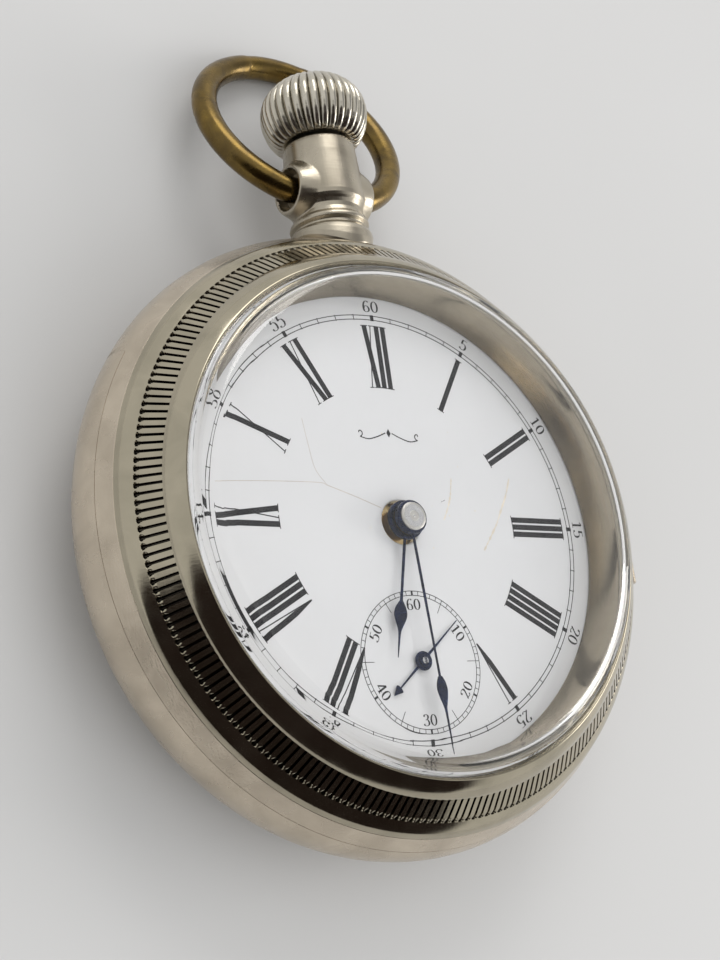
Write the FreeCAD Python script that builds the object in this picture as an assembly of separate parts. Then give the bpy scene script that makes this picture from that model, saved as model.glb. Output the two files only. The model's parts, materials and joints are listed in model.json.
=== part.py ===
import FreeCAD, Part
import math
import os

from FreeCAD import Vector as V

# Open face pocket watch, 18 size, lying on its back. Millimetres.
# Origin: centre of the flat rest on the back cover. +Z out through the dial and crystal,
# +Y to twelve o'clock and the pendant, +X to three o'clock.

# ---------------------------------------------------------------- case
NOSE_R, NOSE_Z = 23.01, 7.45        # centre of the rounded side of the case
NOSE = 5.35                         # its radius: the case is 2 * (NOSE_R + NOSE) across
WALL = 0.80                         # sheet thickness of the back
RIM_WALL = 0.90                     # and of its rim
REST_R = 7.0                        # flat rest in the middle of the back
DOME_R = 120.0                      # radius of the back's dome
DOME_ANGLE = -79.6                  # where the rounded side runs into the dome
BACK_SEAM_Z = 9.65                  # joint between back cover and centre
FRONT_SEAM_Z = 11.30                # joint between centre and bezel
GAP = 0.05                          # gap left in a joint line
NOTCH_HALF = 57.5                   # the back's rim stops this far from twelve o'clock
NOTCH_Z = 3.40                      # and steps down to here, below the pendant
LEDGE_R, LEDGE_Z0, LEDGE_Z1 = 21.2, 7.6, 8.5   # ledge that carries the movement
COLLAR_R0, COLLAR_R1, COLLAR_Z = 24.35, 25.30, 12.55  # threaded collar for the bezel
HINGE_X, HINGE_R, HINGE_PIN_R = 27.9, 0.70, 0.35
HINGE_HALF, KNUCKLE_HALF = 4.5, 1.5

# ---------------------------------------------------------------- front
DIAL_Z, DIAL_T, DIAL_R = 11.60, 0.80, 21.90
SIGHT_R = 21.00                     # visible radius of the dial
EDGE_BACK = (25.94, 12.55)          # coin edge, end towards the back
EDGE_FRONT = (24.28, 14.29)         # coin edge, end towards the crystal
BEZEL_TOP = 15.75
CRYSTAL_R, CRYSTAL_SEAT_Z, CRYSTAL_TOP = 22.68, 15.02, 18.30
CRYSTAL_T = 0.85
POLE = 0.5                          # small flat where a turned dome meets its axis

# ---------------------------------------------------------------- pendant, crown, bow
STEM_Z = 7.45
PENDANT_R, PENDANT_TOP = 3.63, 38.5
PENDANT_BORE = 1.60
PIVOT_Y, PIVOT_Z = 33.5, 7.50
BOW_WIRE = 1.225
BOW_A, BOW_B, BOW_REACH = 10.0, 9.5, 8.64
BOW_TILT = 20.2                     # the loose bow lies with its end on the table
BOW_SOCKET_R, BOW_SOCKET_X = 1.90, 2.95
CROWN_R, CROWN_Y0, CROWN_Y1 = 5.17, 38.75, 45.90
STEM_R = 0.85

# ---------------------------------------------------------------- movement levels
PLATE_R, PLATE_Z0, PLATE_Z1 = 22.0, 8.55, 10.75
TOP_R, TOP_Z0, TOP_Z1 = 20.9, 4.00, 5.00
RECESS_Z = 9.50                     # floor of the motion work recess under the dial
PIVOT_R = 0.16
SCREW_R = 0.50

# wheel train: centres, teeth and modules
CENTRE = (0.0, 0.0)
BARREL = (6.36, 7.58)
THIRD = (3.78, -6.65)
FOURTH = (0.0, -12.3)
ESCAPE = (-5.66, -13.15)
PALLET = (-7.89, -9.78)
BALANCE = (-10.8, -5.4)
MINUTE_WORK = (1.242, 4.636)
SETTING = (0.40, 10.58)
CROWN_WHEEL = (0.0, 13.59)
CLICK = (11.18, 1.83)
BARREL_TEETH, BARREL_M = 78, 0.22
CENTRE_PINION = 12
CENTRE_TEETH, CENTRE_M = 80, 0.17
THIRD_PINION, THIRD_TEETH, THIRD_M = 10, 75, 0.16
FOURTH_PINION, FOURTH_TEETH, FOURTH_M = 10, 80, 0.13
ESCAPE_PINION, ESCAPE_TEETH, ESCAPE_R = 8, 15, 3.5
CANNON_TEETH, MINUTE_TEETH, CANNON_M = 12, 36, 0.20
MINUTE_PINION, HOUR_TEETH, HOUR_M = 10, 40, 0.192
SETTING_TEETH = 24
RATCHET_TEETH, CROWN_TEETH, WIND_PINION, WIND_M = 40, 30, 15, 0.25
BARREL_DRUM_R = 8.2
BALANCE_R = 8.7

# hands, measured round from three o'clock
HOUR_ANGLE, MINUTE_ANGLE, SECOND_ANGLE = -103.3, -87.2, 40.0
HOUR_HAND_Z, MINUTE_HAND_Z, SECOND_HAND_Z = 12.30, 12.92, 11.80
HAND_T = 0.14

PILLARS = [(19.2, 20.0), (19.2, 125.0), (19.2, 200.0), (19.2, 300.0)]
DIAL_FEET = [(17.5, 155.0), (17.5, 35.0), (18.6, 275.0)]
CASE_SCREWS = [(21.62, 150.0), (21.62, 330.0)]


# ---------------------------------------------------------------- helpers
def polar(radius, degrees, centre=(0.0, 0.0)):
    """Point at a radius and angle from a centre, as (x, y)."""
    a = math.radians(degrees)
    return (centre[0] + radius * math.cos(a), centre[1] + radius * math.sin(a))


def wire_rz(points):
    """Closed wire in the XZ plane. A point is (r, z), or ("arc", middle, end)."""
    edges = []
    last = V(points[0][0], 0, points[0][1])
    first = last
    for p in points[1:]:
        if p[0] == "arc":
            middle = V(p[1][0], 0, p[1][1])
            end = V(p[2][0], 0, p[2][1])
            edges.append(Part.Arc(last, middle, end).toShape())
        else:
            end = V(p[0], 0, p[1])
            edges.append(Part.LineSegment(last, end).toShape())
        last = end
    if last.distanceToPoint(first) > 1e-6:
        edges.append(Part.LineSegment(last, first).toShape())
    return Part.Wire(edges)


def lathe(points, start=0.0, sweep=360.0):
    """Solid turned about Z from a closed (r, z) profile."""
    solid = Part.Face(wire_rz(points)).revolve(V(0, 0, 0), V(0, 0, 1), sweep)
    if start:
        solid.rotate(V(0, 0, 0), V(0, 0, 1), start)
    return solid


def lathe_stem(points):
    """Solid turned about the winding stem's axis, from a closed (r, y) profile."""
    solid = lathe(points)
    solid.rotate(V(0, 0, 0), V(1, 0, 0), -90)
    solid.translate(V(0, 0, STEM_Z))
    return solid


def tube(centre, r0, r1, z0, z1):
    """Round tube, or a plain disc when r0 is 0."""
    at = V(centre[0], centre[1], z0)
    solid = Part.makeCylinder(r1, z1 - z0, at)
    if r0 > 0:
        solid = solid.cut(Part.makeCylinder(r0, z1 - z0 + 2, at - V(0, 0, 1)))
    return solid


def fuse(parts):
    """One solid from parts that overlap."""
    return parts[0].fuse(parts[1:]).removeSplitter()


def nose(radius, degrees):
    """Point on a circle round the centre of the case's rounded side."""
    return polar(radius, degrees, (NOSE_R, NOSE_Z))


def nose_angle(z, radius=NOSE):
    """Angle on that circle at a height."""
    return math.degrees(math.asin((z - NOSE_Z) / radius))


def dome_z(r):
    """Height of the outside of the back's dome."""
    return max(0.0, (r * r - REST_R * REST_R) / (2 * DOME_R))


def circle_wire(centre, radius, z):
    return Part.Wire(Part.makeCircle(radius, V(centre[0], centre[1], z)))


def gear_wire(centre, teeth, module, z, phase, add=0.75, ded=1.25, share=0.40):
    """Outline of a toothed wheel, with a tooth centred on the angle phase."""
    pitch = 360.0 / teeth
    r = module * teeth / 2
    points = []
    for i in range(teeth):
        middle = phase + i * pitch
        for radius, half in ((r - ded * module, 0.52), (r, 0.5), (r + 0.5 * add * module, 0.40),
                             (r + add * module, 0.20)):
            points.append((radius, middle - share * pitch * half))
        points.append((r + add * module, middle + share * pitch * 0.20))
        points.append((r + 0.5 * add * module, middle + share * pitch * 0.40))
        points.append((r, middle + share * pitch * 0.5))
        points.append((r - ded * module, middle + share * pitch * 0.52))
    corners = [V(*polar(radius, a, centre), z) for radius, a in points]
    return Part.makePolygon(corners + corners[:1])


def spoke_windows(centre, z, r0, r1, count, half_width, phase=0.0):
    """Openings between a wheel's arms."""
    wires = []
    for i in range(count):
        a0 = phase + i * 360.0 / count
        a1 = a0 + 360.0 / count
        angle = [a0 + math.degrees(half_width / r0), a1 - math.degrees(half_width / r0)]
        outer = [a0 + math.degrees(half_width / r1), a1 - math.degrees(half_width / r1)]
        p = [V(*polar(r0, angle[0], centre), z), V(*polar(r1, outer[0], centre), z),
             V(*polar(r1, outer[1], centre), z), V(*polar(r0, angle[1], centre), z)]
        mid_out = V(*polar(r1, (outer[0] + outer[1]) / 2, centre), z)
        mid_in = V(*polar(r0, (angle[0] + angle[1]) / 2, centre), z)
        wires.append(Part.Wire([Part.LineSegment(p[0], p[1]).toShape(), Part.Arc(p[1], mid_out, p[2]).toShape(),
                                Part.LineSegment(p[2], p[3]).toShape(), Part.Arc(p[3], mid_in, p[0]).toShape()]))
    return wires


def plate_from(wires, height):
    """Flat piece with holes: the outline comes first."""
    return Part.makeFace(wires, "Part::FaceMakerBullseye").extrude(V(0, 0, height))


def wheel(centre, teeth, module, z0, z1, phase, hub_r, arms=5):
    """Crossed-out toothed wheel on its hub."""
    rim = module * teeth / 2 - 1.25 * module - 0.55
    wires = [gear_wire(centre, teeth, module, z0, phase)]
    wires += spoke_windows(centre, z0, hub_r + 0.5, rim, arms, 0.28, 18.0)
    return plate_from(wires, z1 - z0)


def pinion(centre, teeth, module, z0, z1, phase):
    return plate_from([gear_wire(centre, teeth, module, z0, phase, 0.70, 1.10, 0.36)], z1 - z0)


def mesh_phase(teeth_a, phase_a, centre_a, teeth_b, centre_b):
    """Phase that puts wheel b in mesh with wheel a."""
    line = math.degrees(math.atan2(centre_b[1] - centre_a[1], centre_b[0] - centre_a[0]))
    behind = (line - phase_a) / (360.0 / teeth_a)
    return line + 180.0 + (360.0 / teeth_b) * (0.5 + behind)


def arbor(centre, steps):
    """Turned arbor from (z0, z1, radius) steps."""
    return fuse([tube(centre, 0, r, z0, z1) for z0, z1, r in steps])


def screw(centre, z_head, direction, length, head_r=0.85, head_h=0.40, shank_r=SCREW_R):
    """Slotted screw. direction +1 drives it towards +Z from its head."""
    shape = fuse([tube(centre, 0, head_r, min(z_head, z_head + direction * head_h),
                       max(z_head, z_head + direction * head_h)),
                  tube(centre, 0, shank_r, min(z_head, z_head + direction * length),
                       max(z_head, z_head + direction * length))])
    slot_depth = 0.16
    slot = Part.makeBox(4 * head_r, 0.16, 2 * slot_depth,
                        V(centre[0] - 2 * head_r, centre[1] - 0.08, z_head - slot_depth))
    return shape.cut(slot)


def drilled(body, holes):
    """body with round holes, each (centre, radius, z0, z1)."""
    return body.cut([tube(c, 0, r, z0, z1) for c, r, z0, z1 in holes])


def jewel(centre, z0, z1, radius=0.62):
    return tube(centre, PIVOT_R + 0.02, radius, z0, z1)


def save(name, shape):
    """Write one piece, or a group of separate pieces, to its own STEP file."""
    if isinstance(shape, (list, tuple)):
        shape = Part.makeCompound(list(shape))
    for solid in shape.Solids:
        if not solid.isValid():
            print("INVALID", name)
    print("%-22s solids %2d  faces %4d  volume %9.3f" % (name, len(shape.Solids), len(shape.Faces), shape.Volume))
    shape.exportStep("parts/%s.step" % name)


# ---------------------------------------------------------------- case pieces
def back_cover():
    """Deep hinged back: rounded rim, shallow dome and a flat rest."""
    seam, inner_r = nose_angle(BACK_SEAM_Z), NOSE - RIM_WALL
    seam_in = nose_angle(BACK_SEAM_Z, inner_r)
    mid_r = (REST_R + NOSE_R) / 2
    outer_end, inner_end = nose(NOSE, DOME_ANGLE), nose(NOSE - WALL, DOME_ANGLE)
    shell = lathe([
        (0, 0), (REST_R, 0), ("arc", (mid_r, dome_z(mid_r)), outer_end),
        ("arc", nose(NOSE, -28), nose(NOSE, seam)), nose(inner_r, seam_in),
        ("arc", nose(inner_r - 0.02, -28), inner_end),
        ("arc", (mid_r, dome_z(mid_r) + WALL), (REST_R, WALL)), (0, WALL),
    ])
    notch = lathe([(20, NOTCH_Z - GAP), (30, NOTCH_Z - GAP), (30, 12), (20, 12)], 90 - NOTCH_HALF - 0.1,
                  2 * NOTCH_HALF + 0.2)
    shell = shell.cut(notch)
    for y0, y1 in ((-HINGE_HALF - GAP, -KNUCKLE_HALF + 0.02), (KNUCKLE_HALF - 0.02, HINGE_HALF + GAP)):
        shell = shell.cut(hinge_bar(y0, y1, HINGE_R + 0.06))
    shell = fuse([shell, hinge_bar(-KNUCKLE_HALF + 0.03, KNUCKLE_HALF - 0.03, HINGE_R)])
    return shell.cut(hinge_bar(-HINGE_HALF, HINGE_HALF, HINGE_PIN_R + 0.02))


def hinge_bar(y0, y1, radius):
    """Round bar on the back's hinge line."""
    return Part.makeCylinder(radius, y1 - y0, V(HINGE_X, y0, BACK_SEAM_Z), V(0, 1, 0))


def case_centre():
    """Ring between bezel and back, with the ledge that carries the movement."""
    z = BACK_SEAM_Z + GAP
    ring = lathe([
        (LEDGE_R, LEDGE_Z0), (23.0, LEDGE_Z0), (23.6, z - 0.1), (25.8, z - 0.1), (25.9, 8.75), (26.8, 8.75),
        (26.8, z), nose(NOSE, nose_angle(z)),
        ("arc", nose(NOSE, (nose_angle(z) + nose_angle(FRONT_SEAM_Z)) / 2), nose(NOSE, nose_angle(FRONT_SEAM_Z))),
        (COLLAR_R1, FRONT_SEAM_Z), (COLLAR_R1, COLLAR_Z), (COLLAR_R0, COLLAR_Z), (COLLAR_R0, FRONT_SEAM_Z + 0.2),
        (PLATE_R + 0.15, FRONT_SEAM_Z + 0.2), (PLATE_R + 0.15, LEDGE_Z1), (LEDGE_R, LEDGE_Z1),
    ])
    low, inner_r = nose_angle(NOTCH_Z), NOSE - RIM_WALL
    wall = lathe([
        nose(NOSE, nose_angle(z + 0.1)), ("arc", nose(NOSE, -10), nose(NOSE, low)), nose(inner_r, low),
        ("arc", nose(inner_r, -15), nose(inner_r, 10)), (26.5, 8.9), (26.5, z + 0.1),
    ], 90 - NOTCH_HALF, 2 * NOTCH_HALF)
    body = fuse([ring, wall])
    holes = [tube(polar(*s), 0, SCREW_R + 0.02, LEDGE_Z0 - 1, LEDGE_Z1 + 1) for s in CASE_SCREWS]
    holes.append(Part.makeCylinder(PENDANT_R - 0.25, 12, V(0, 20, STEM_Z), V(0, 1, 0)))
    holes.append(hinge_bar(-KNUCKLE_HALF - 0.02, KNUCKLE_HALF + 0.02, HINGE_R + 0.06))
    body = body.cut(holes)
    knuckles = [hinge_bar(-HINGE_HALF, -KNUCKLE_HALF - 0.02, HINGE_R),
                hinge_bar(KNUCKLE_HALF + 0.02, HINGE_HALF, HINGE_R)]
    body = fuse([body] + knuckles)
    return body.cut(hinge_bar(-HINGE_HALF - 1, HINGE_HALF + 1, HINGE_PIN_R + 0.005))


def bezel():
    """Screwed bezel: lip, coin edge, polished roll, crystal seat and sloping inner wall."""
    seam_r = nose(NOSE, nose_angle(FRONT_SEAM_Z))[0]
    z = FRONT_SEAM_Z + GAP
    return lathe([
        (COLLAR_R1 + 0.05, z), (seam_r - 0.03, z), ("arc", (seam_r - 0.22, z + 0.62), EDGE_BACK),
        EDGE_FRONT, ("arc", (23.72, 15.30), (23.10, BEZEL_TOP)), (CRYSTAL_R + 0.03, BEZEL_TOP - 0.03),
        (CRYSTAL_R + 0.03, CRYSTAL_SEAT_Z - 0.02), (22.12, CRYSTAL_SEAT_Z - 0.02), (22.02, 14.65),
        ("arc", (21.62, 13.10), (SIGHT_R, DIAL_Z + 0.12)), (SIGHT_R + 0.10, DIAL_Z + 0.05),
        (COLLAR_R0 - 0.10, DIAL_Z + 0.05), (COLLAR_R0 - 0.10, COLLAR_Z + 0.10), (COLLAR_R1 + 0.05, COLLAR_Z + 0.10),
    ])


def crystal():
    """Domed glass of even thickness with a high rounded edge."""
    top, seat = CRYSTAL_TOP, CRYSTAL_SEAT_Z
    return lathe([
        (0, top), (POLE, top), ("arc", (10.8, top - 0.24), (21.0, top - 0.90)), ("arc", (21.95, 17.02), (22.30, 16.10)),
        (CRYSTAL_R, 15.72), (CRYSTAL_R, seat), (21.75, seat), (21.62, 15.60), ("arc", (21.30, 16.35), (20.60, 16.60)),
        ("arc", (10.5, top - CRYSTAL_T - 0.22), (POLE, top - CRYSTAL_T)),
        (0, top - CRYSTAL_T),
    ])


def pendant():
    """Turned pendant with two rings at its foot and a socket each side for the bow."""
    p = PENDANT_R
    body = lathe_stem([
        (PENDANT_BORE, 26.9), (p - 0.28, 26.9), (p - 0.28, 28.2), (p + 0.12, 28.35),
        ("arc", (p + 0.32, 28.8), (p + 0.12, 29.25)), (p - 0.19, 29.40), (p - 0.19, 29.62),
        ("arc", (p + 0.12, 30.05), (p - 0.16, 30.50)), ("arc", (p - 0.36, 31.05), (p - 0.19, 31.70)),
        ("arc", (p + 0.02, 32.1), (p + 0.12, 32.6)), (p + 0.02, 34.6), (p - 0.22, PENDANT_TOP - 0.4),
        ("arc", (p - 0.30, PENDANT_TOP - 0.1), (p - 0.60, PENDANT_TOP)), (PENDANT_BORE, PENDANT_TOP),
    ])
    boss = Part.makeCylinder(2.45, 8.5, V(-4.25, PIVOT_Y, PIVOT_Z), V(1, 0, 0))
    ball = Part.makeSphere(4.62, V(0, PIVOT_Y, PIVOT_Z))
    body = fuse([body, boss.common(ball)])
    bore = Part.makeCylinder(PENDANT_BORE, 20, V(0, 25, STEM_Z), V(0, 1, 0))
    cuts = [bore]
    for side in (-1, 1):
        cuts.append(Part.makeCylinder(BOW_SOCKET_R, 4, V(side * BOW_SOCKET_X, PIVOT_Y, PIVOT_Z), V(side, 0, 0)))
        cuts.append(Part.makeCylinder(0.95, 2, V(side * 1.8, PIVOT_Y, PIVOT_Z), V(side, 0, 0)))
    return body.cut(cuts)


def pendant_sleeve():
    """Split steel sleeve screwed into the pendant, which grips the stem."""
    sleeve = lathe_stem([(STEM_R + 0.05, 35.0), (1.55, 35.0), (1.55, 37.9), (STEM_R + 0.05, 37.9)])
    return sleeve


def bow():
    """Bow of round wire, its two ends turned in to the pendant's sockets."""
    start = math.asin(-BOW_REACH / BOW_B)
    ellipse = Part.Ellipse(V(0, BOW_REACH, 0), BOW_A, BOW_B)
    path = Part.Wire(ellipse.toShape(start, math.pi - start))
    at = V(BOW_A * math.cos(start), 0, 0)
    along = V(-BOW_A * math.sin(start), BOW_B * math.cos(start), 0)
    section = Part.Wire(Part.makeCircle(BOW_WIRE, at, along))
    pipe = path.makePipeShell([section], True, True)
    ends = []
    for side in (-1, 1):
        ends.append(Part.makeCylinder(BOW_WIRE - 0.01, 1.4, V(side * 3.05, 0, 0), V(side, 0, 0)))
        ends.append(Part.makeCylinder(0.85, 1.2, V(side * 2.1, 0, 0), V(side, 0, 0)))
    shape = fuse([pipe] + ends)
    shape = shape.cut(Part.makeBox(4.1, 8, 8, V(-2.05, -4, -4)))
    shape.rotate(V(0, 0, 0), V(1, 0, 0), -BOW_TILT)
    shape.translate(V(0, PIVOT_Y, PIVOT_Z))
    return shape


def crown():
    """Onion crown, turned; its flutes are shallow surface detail."""
    y0, y1, r = CROWN_Y0, CROWN_Y1, CROWN_R
    return lathe_stem([
        (STEM_R, y0), (3.75, y0), ("arc", (4.72, y0 + 1.05), (r, y0 + 3.05)),
        ("arc", (4.72, y1 - 2.05), (3.30, y1 - 0.72)), ("arc", (1.90, y1 - 0.18), (POLE, y1)), (0, y1), (0, 41.6),
        (STEM_R, 41.6),
    ])


def stem():
    """Winding stem: square for the clutch, journal and the thread that holds the crown."""
    square = Part.makeBox(1.10, 4.4, 1.10, V(-0.55, 15.0, STEM_Z - 0.55))
    shaft = lathe_stem([(0, 19.3), (STEM_R - 0.02, 19.3), (STEM_R - 0.02, 41.5), (0, 41.5)])
    return fuse([square, shaft])


# ---------------------------------------------------------------- movement frame
def pillar_plate():
    """Main plate under the dial."""
    body = tube(CENTRE, 0, PLATE_R, PLATE_Z0, PLATE_Z1)
    lug = Part.makeBox(4.2, 2.7, 2.6, V(-2.1, 18.4, PLATE_Z0 - 2.3))
    body = fuse([body, lug])
    high = PLATE_Z1 + 1
    cuts = [
        tube(CENTRE, 0, 5.1, RECESS_Z, high),
        tube(MINUTE_WORK, 0, 4.1, RECESS_Z, high),
        tube(SETTING, 0, 2.85, RECESS_Z, high),
        Part.makeBox(4.8, 3.6, 3, V(-2.4, 14.75, 6.8)),
        Part.makeCylinder(STEM_R + 0.03, 6, V(0, 17, STEM_Z), V(0, 1, 0)),
        tube(CENTRE, 0, 0.62, PLATE_Z0 - 1, high),
        tube(FOURTH, 0, 0.62, PLATE_Z0 - 1, high),
    ]
    for at in (BARREL, THIRD, ESCAPE, PALLET, BALANCE):
        cuts.append(tube(at, 0, 0.62, PLATE_Z0 - 1, PLATE_Z0 + 0.5))
    for foot in DIAL_FEET:
        cuts.append(tube(polar(*foot), 0, 0.60, PLATE_Z0 - 1, high))
    for s in CASE_SCREWS:
        cuts.append(tube(polar(*s), 0, SCREW_R, PLATE_Z0 - 1, PLATE_Z0 + 1.25))
    for pillar in PILLARS:
        cuts.append(tube(polar(*pillar), 0, 0.6, PLATE_Z0 - 1, PLATE_Z0 + 1.2))
    posts = [tube(MINUTE_WORK, 0, 0.42, RECESS_Z - 0.3, 10.60), tube(SETTING, 0, 0.42, RECESS_Z - 0.3, 10.20)]
    return fuse([body.cut(cuts)] + posts)


def top_plate():
    """Full plate at the back of the movement."""
    holes = [(BARREL, 1.03, 3, 6), (CROWN_WHEEL, 0.83, 3, 6), (BALANCE, 1.10, 3, 6), (CENTRE, 0.62, 3, 6),
             (THIRD, 0.62, 3, 6), (FOURTH, 0.62, 3, 6), (ESCAPE, 0.62, 3, 6), (PALLET, 0.62, 3, 6),
             (CLICK, 0.45, 3, 6)]
    for pillar in PILLARS:
        at = polar(*pillar)
        holes.append((at, SCREW_R + 0.02, 3, 6))
        holes.append((at, 0.90, 3, TOP_Z0 + 0.42))
    for at in cock_screws():
        holes.append((at, SCREW_R, 3, 6))
    return drilled(tube(CENTRE, 0, TOP_R, TOP_Z0, TOP_Z1), holes)


def cock_foot():
    return (-13.5, 6.5)


def cock_screws():
    return [cock_foot()]


def balance_cock():
    """Cock that carries the balance's outer pivot."""
    foot = cock_foot()
    head_z0, head_z1 = 1.90, 2.60
    dx, dy = foot[0] - BALANCE[0], foot[1] - BALANCE[1]
    length = math.hypot(dx, dy)
    ux, uy = dx / length, dy / length
    corners = []
    for s, w in ((0, -1.3), (length, -2.4), (length, 2.4), (0, 1.3)):
        corners.append(V(BALANCE[0] + ux * s - uy * w, BALANCE[1] + uy * s + ux * w, head_z0))
    arm = Part.Face(Part.makePolygon(corners + corners[:1])).extrude(V(0, 0, head_z1 - head_z0))
    body = fuse([arm, tube(BALANCE, 0, 2.0, head_z0, head_z1), tube(foot, 0, 2.4, head_z0, TOP_Z0 - 0.01)])
    return drilled(body, [(BALANCE, 0.62, 1, 3), (foot, SCREW_R + 0.02, 1, 5), (foot, 0.87, 1, 2.32)])


# ---------------------------------------------------------------- moving pieces of the movement
def balance_wheel():
    """Rim, two arms, staff and roller, with timing screws in the rim."""
    z0, z1 = 2.90, 3.55
    rim = tube(BALANCE, BALANCE_R - 1.05, BALANCE_R - 0.35, z0, z1)
    arm = Part.makeBox(2 * (BALANCE_R - 0.7), 0.8, 0.35, V(BALANCE[0] - BALANCE_R + 0.7, BALANCE[1] - 0.4, z0 + 0.05))
    hub = tube(BALANCE, 0, 1.2, z0, z1)
    screws = []
    for i in range(14):
        a = 360.0 / 14 * (i + 0.5)
        x, y = polar(BALANCE_R - 0.6, a, BALANCE)
        d = polar(1.0, a)
        screws.append(Part.makeCylinder(0.24, 0.60, V(x, y, (z0 + z1) / 2), V(d[0], d[1], 0)))
    return drilled(fuse([rim, arm, hub] + screws), [(BALANCE, 0.40, 0, 6)])


def balance_staff():
    steps = [(1.92, 2.65, PIVOT_R), (2.62, 5.70, 0.39), (5.65, 8.45, 0.30), (8.40, 8.95, PIVOT_R)]
    return arbor(BALANCE, steps)


def roller():
    """Roller table with its impulse pin."""
    pin = polar(1.15, math.degrees(math.atan2(PALLET[1] - BALANCE[1], PALLET[0] - BALANCE[0])), BALANCE)
    disc = drilled(tube(BALANCE, 0, 1.65, 5.12, 5.40), [(BALANCE, 0.40, 5, 6)])
    return fuse([disc, tube(pin, 0, 0.22, 5.3, 5.52)])


def hairspring():
    """Flat spiral from the collet to the stud."""
    turns, r0, r1, width, height = 9, 1.0, 4.6, 0.05, 0.18
    z0 = 3.62
    steps = turns * 12
    inner, outer = [], []
    for i in range(steps + 1):
        a = 360.0 * turns * i / steps
        r = r0 + (r1 - r0) * i / steps
        inner.append(V(*polar(r - width / 2, a, BALANCE), z0))
        outer.append(V(*polar(r + width / 2, a, BALANCE), z0))
    curves = []
    for points in (outer, inner):
        spline = Part.BSplineCurve()
        spline.interpolate(points)
        curves.append(spline.toShape())
    caps = [Part.LineSegment(outer[0], inner[0]).toShape(), Part.LineSegment(inner[-1], outer[-1]).toShape()]
    outline = Part.Wire(Part.__sortEdges__([curves[0], caps[1], curves[1], caps[0]]))
    return Part.Face(outline).extrude(V(0, 0, height))


def pallet_fork():
    """Lever with two shortened pallet arms, notch at the balance end."""
    z0, h = 5.60, 0.40
    line = math.atan2(BALANCE[1] - PALLET[1], BALANCE[0] - PALLET[0])
    ux, uy = math.cos(line), math.sin(line)

    def at(s, w):
        return V(PALLET[0] + ux * s - uy * w, PALLET[1] + uy * s + ux * w, z0)

    outline = [(3.95, 0.62), (3.95, 0.26), (3.35, 0.26), (3.35, -0.26), (3.95, -0.26), (3.95, -0.62), (3.0, -0.62),
               (1.6, -0.30), (0.7, -0.5), (0.15, -2.15), (-0.75, -2.75), (-0.95, -2.35), (-0.42, -1.95),
               (-0.45, -0.55), (-0.45, 0.55), (-0.42, 1.95), (-0.95, 2.35), (-0.75, 2.75), (0.15, 2.15),
               (0.7, 0.5), (1.6, 0.30), (3.0, 0.62)]
    corners = [at(s, w) for s, w in outline]
    body = Part.Face(Part.makePolygon(corners + corners[:1])).extrude(V(0, 0, h))
    clear = Part.makeCylinder(ESCAPE_R + 0.35, 3, V(ESCAPE[0], ESCAPE[1], z0 - 1))
    body = body.cut(clear)
    return drilled(body, [(PALLET, 0.30, 5, 7)])


def escape_wheel():
    """Fifteen pointed teeth."""
    z0, z1 = 5.72, 5.97
    points = []
    for i in range(ESCAPE_TEETH):
        a = 360.0 / ESCAPE_TEETH * i
        for r, da in ((ESCAPE_R - 0.95, -3.0), (ESCAPE_R, 7.0), (ESCAPE_R, 9.0), (ESCAPE_R - 0.95, 7.5)):
            points.append(V(*polar(r, a + da, ESCAPE), z0))
    wires = [Part.makePolygon(points + points[:1])]
    wires += spoke_windows(ESCAPE, z0, 0.95, ESCAPE_R - 1.35, 4, 0.2)
    wires.append(circle_wire(ESCAPE, 0.31, z0))
    return plate_from(wires, z1 - z0)


def barrel():
    """Toothed drum for the mainspring; its cover is a separate piece."""
    z0, z1, teeth_z0, teeth_z1 = 5.74, 7.78, 7.12, 7.62
    rim = plate_from([gear_wire(BARREL, BARREL_TEETH, BARREL_M, teeth_z0, phases["barrel"]),
                      circle_wire(BARREL, BARREL_DRUM_R - 0.45, teeth_z0)], teeth_z1 - teeth_z0)
    wall = tube(BARREL, BARREL_DRUM_R - 0.45, BARREL_DRUM_R - 0.02, z0, z1)
    floor = tube(BARREL, 1.06, BARREL_DRUM_R - 0.02, z1 - 0.30, z1)
    return fuse([wall, rim, floor])


def mainspring():
    """Coiled ribbon, drawn as its turns: a spiral band inside the drum."""
    turns, r0, r1, width = 7, 2.2, 7.45, 0.22
    z0, z1 = 6.10, 7.40
    steps = turns * 16
    inner, outer = [], []
    for i in range(steps + 1):
        a = 360.0 * turns * i / steps
        r = r0 + (r1 - r0) * i / steps
        inner.append(V(*polar(r - width / 2, a, BARREL), z0))
        outer.append(V(*polar(r + width / 2, a, BARREL), z0))
    curves = []
    for points in (outer, inner):
        spline = Part.BSplineCurve()
        spline.interpolate(points)
        curves.append(spline.toShape())
    caps = [Part.LineSegment(outer[0], inner[0]).toShape(), Part.LineSegment(inner[-1], outer[-1]).toShape()]
    outline = Part.Wire(Part.__sortEdges__([curves[0], caps[1], curves[1], caps[0]]))
    return Part.Face(outline).extrude(V(0, 0, z1 - z0))


def hand(outline, angle, z, centre=CENTRE, hub_r=1.3, bore_r=0.6, collet=None):
    """Flat hand from (distance, half width) points, with its hub and collet."""
    left = [V(s, w, 0) for s, w in outline]
    right = [V(s, -w, 0) for s, w in reversed(outline) if w > 0]
    corners = left + right
    blade = Part.Face(Part.makePolygon(corners + corners[:1])).extrude(V(0, 0, HAND_T))
    parts = [blade, Part.makeCylinder(hub_r, HAND_T, V(0, 0, 0))]
    if collet:
        parts.append(Part.makeCylinder(collet[0], collet[2] - collet[1], V(0, 0, collet[1] - z)))
    body = fuse(parts).cut(Part.makeCylinder(bore_r, 6, V(0, 0, -3)))
    body.rotate(V(0, 0, 0), V(0, 0, 1), angle)
    body.translate(V(centre[0], centre[1], z))
    return body


# ---------------------------------------------------------------- build
os.makedirs("parts", exist_ok=True)

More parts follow.
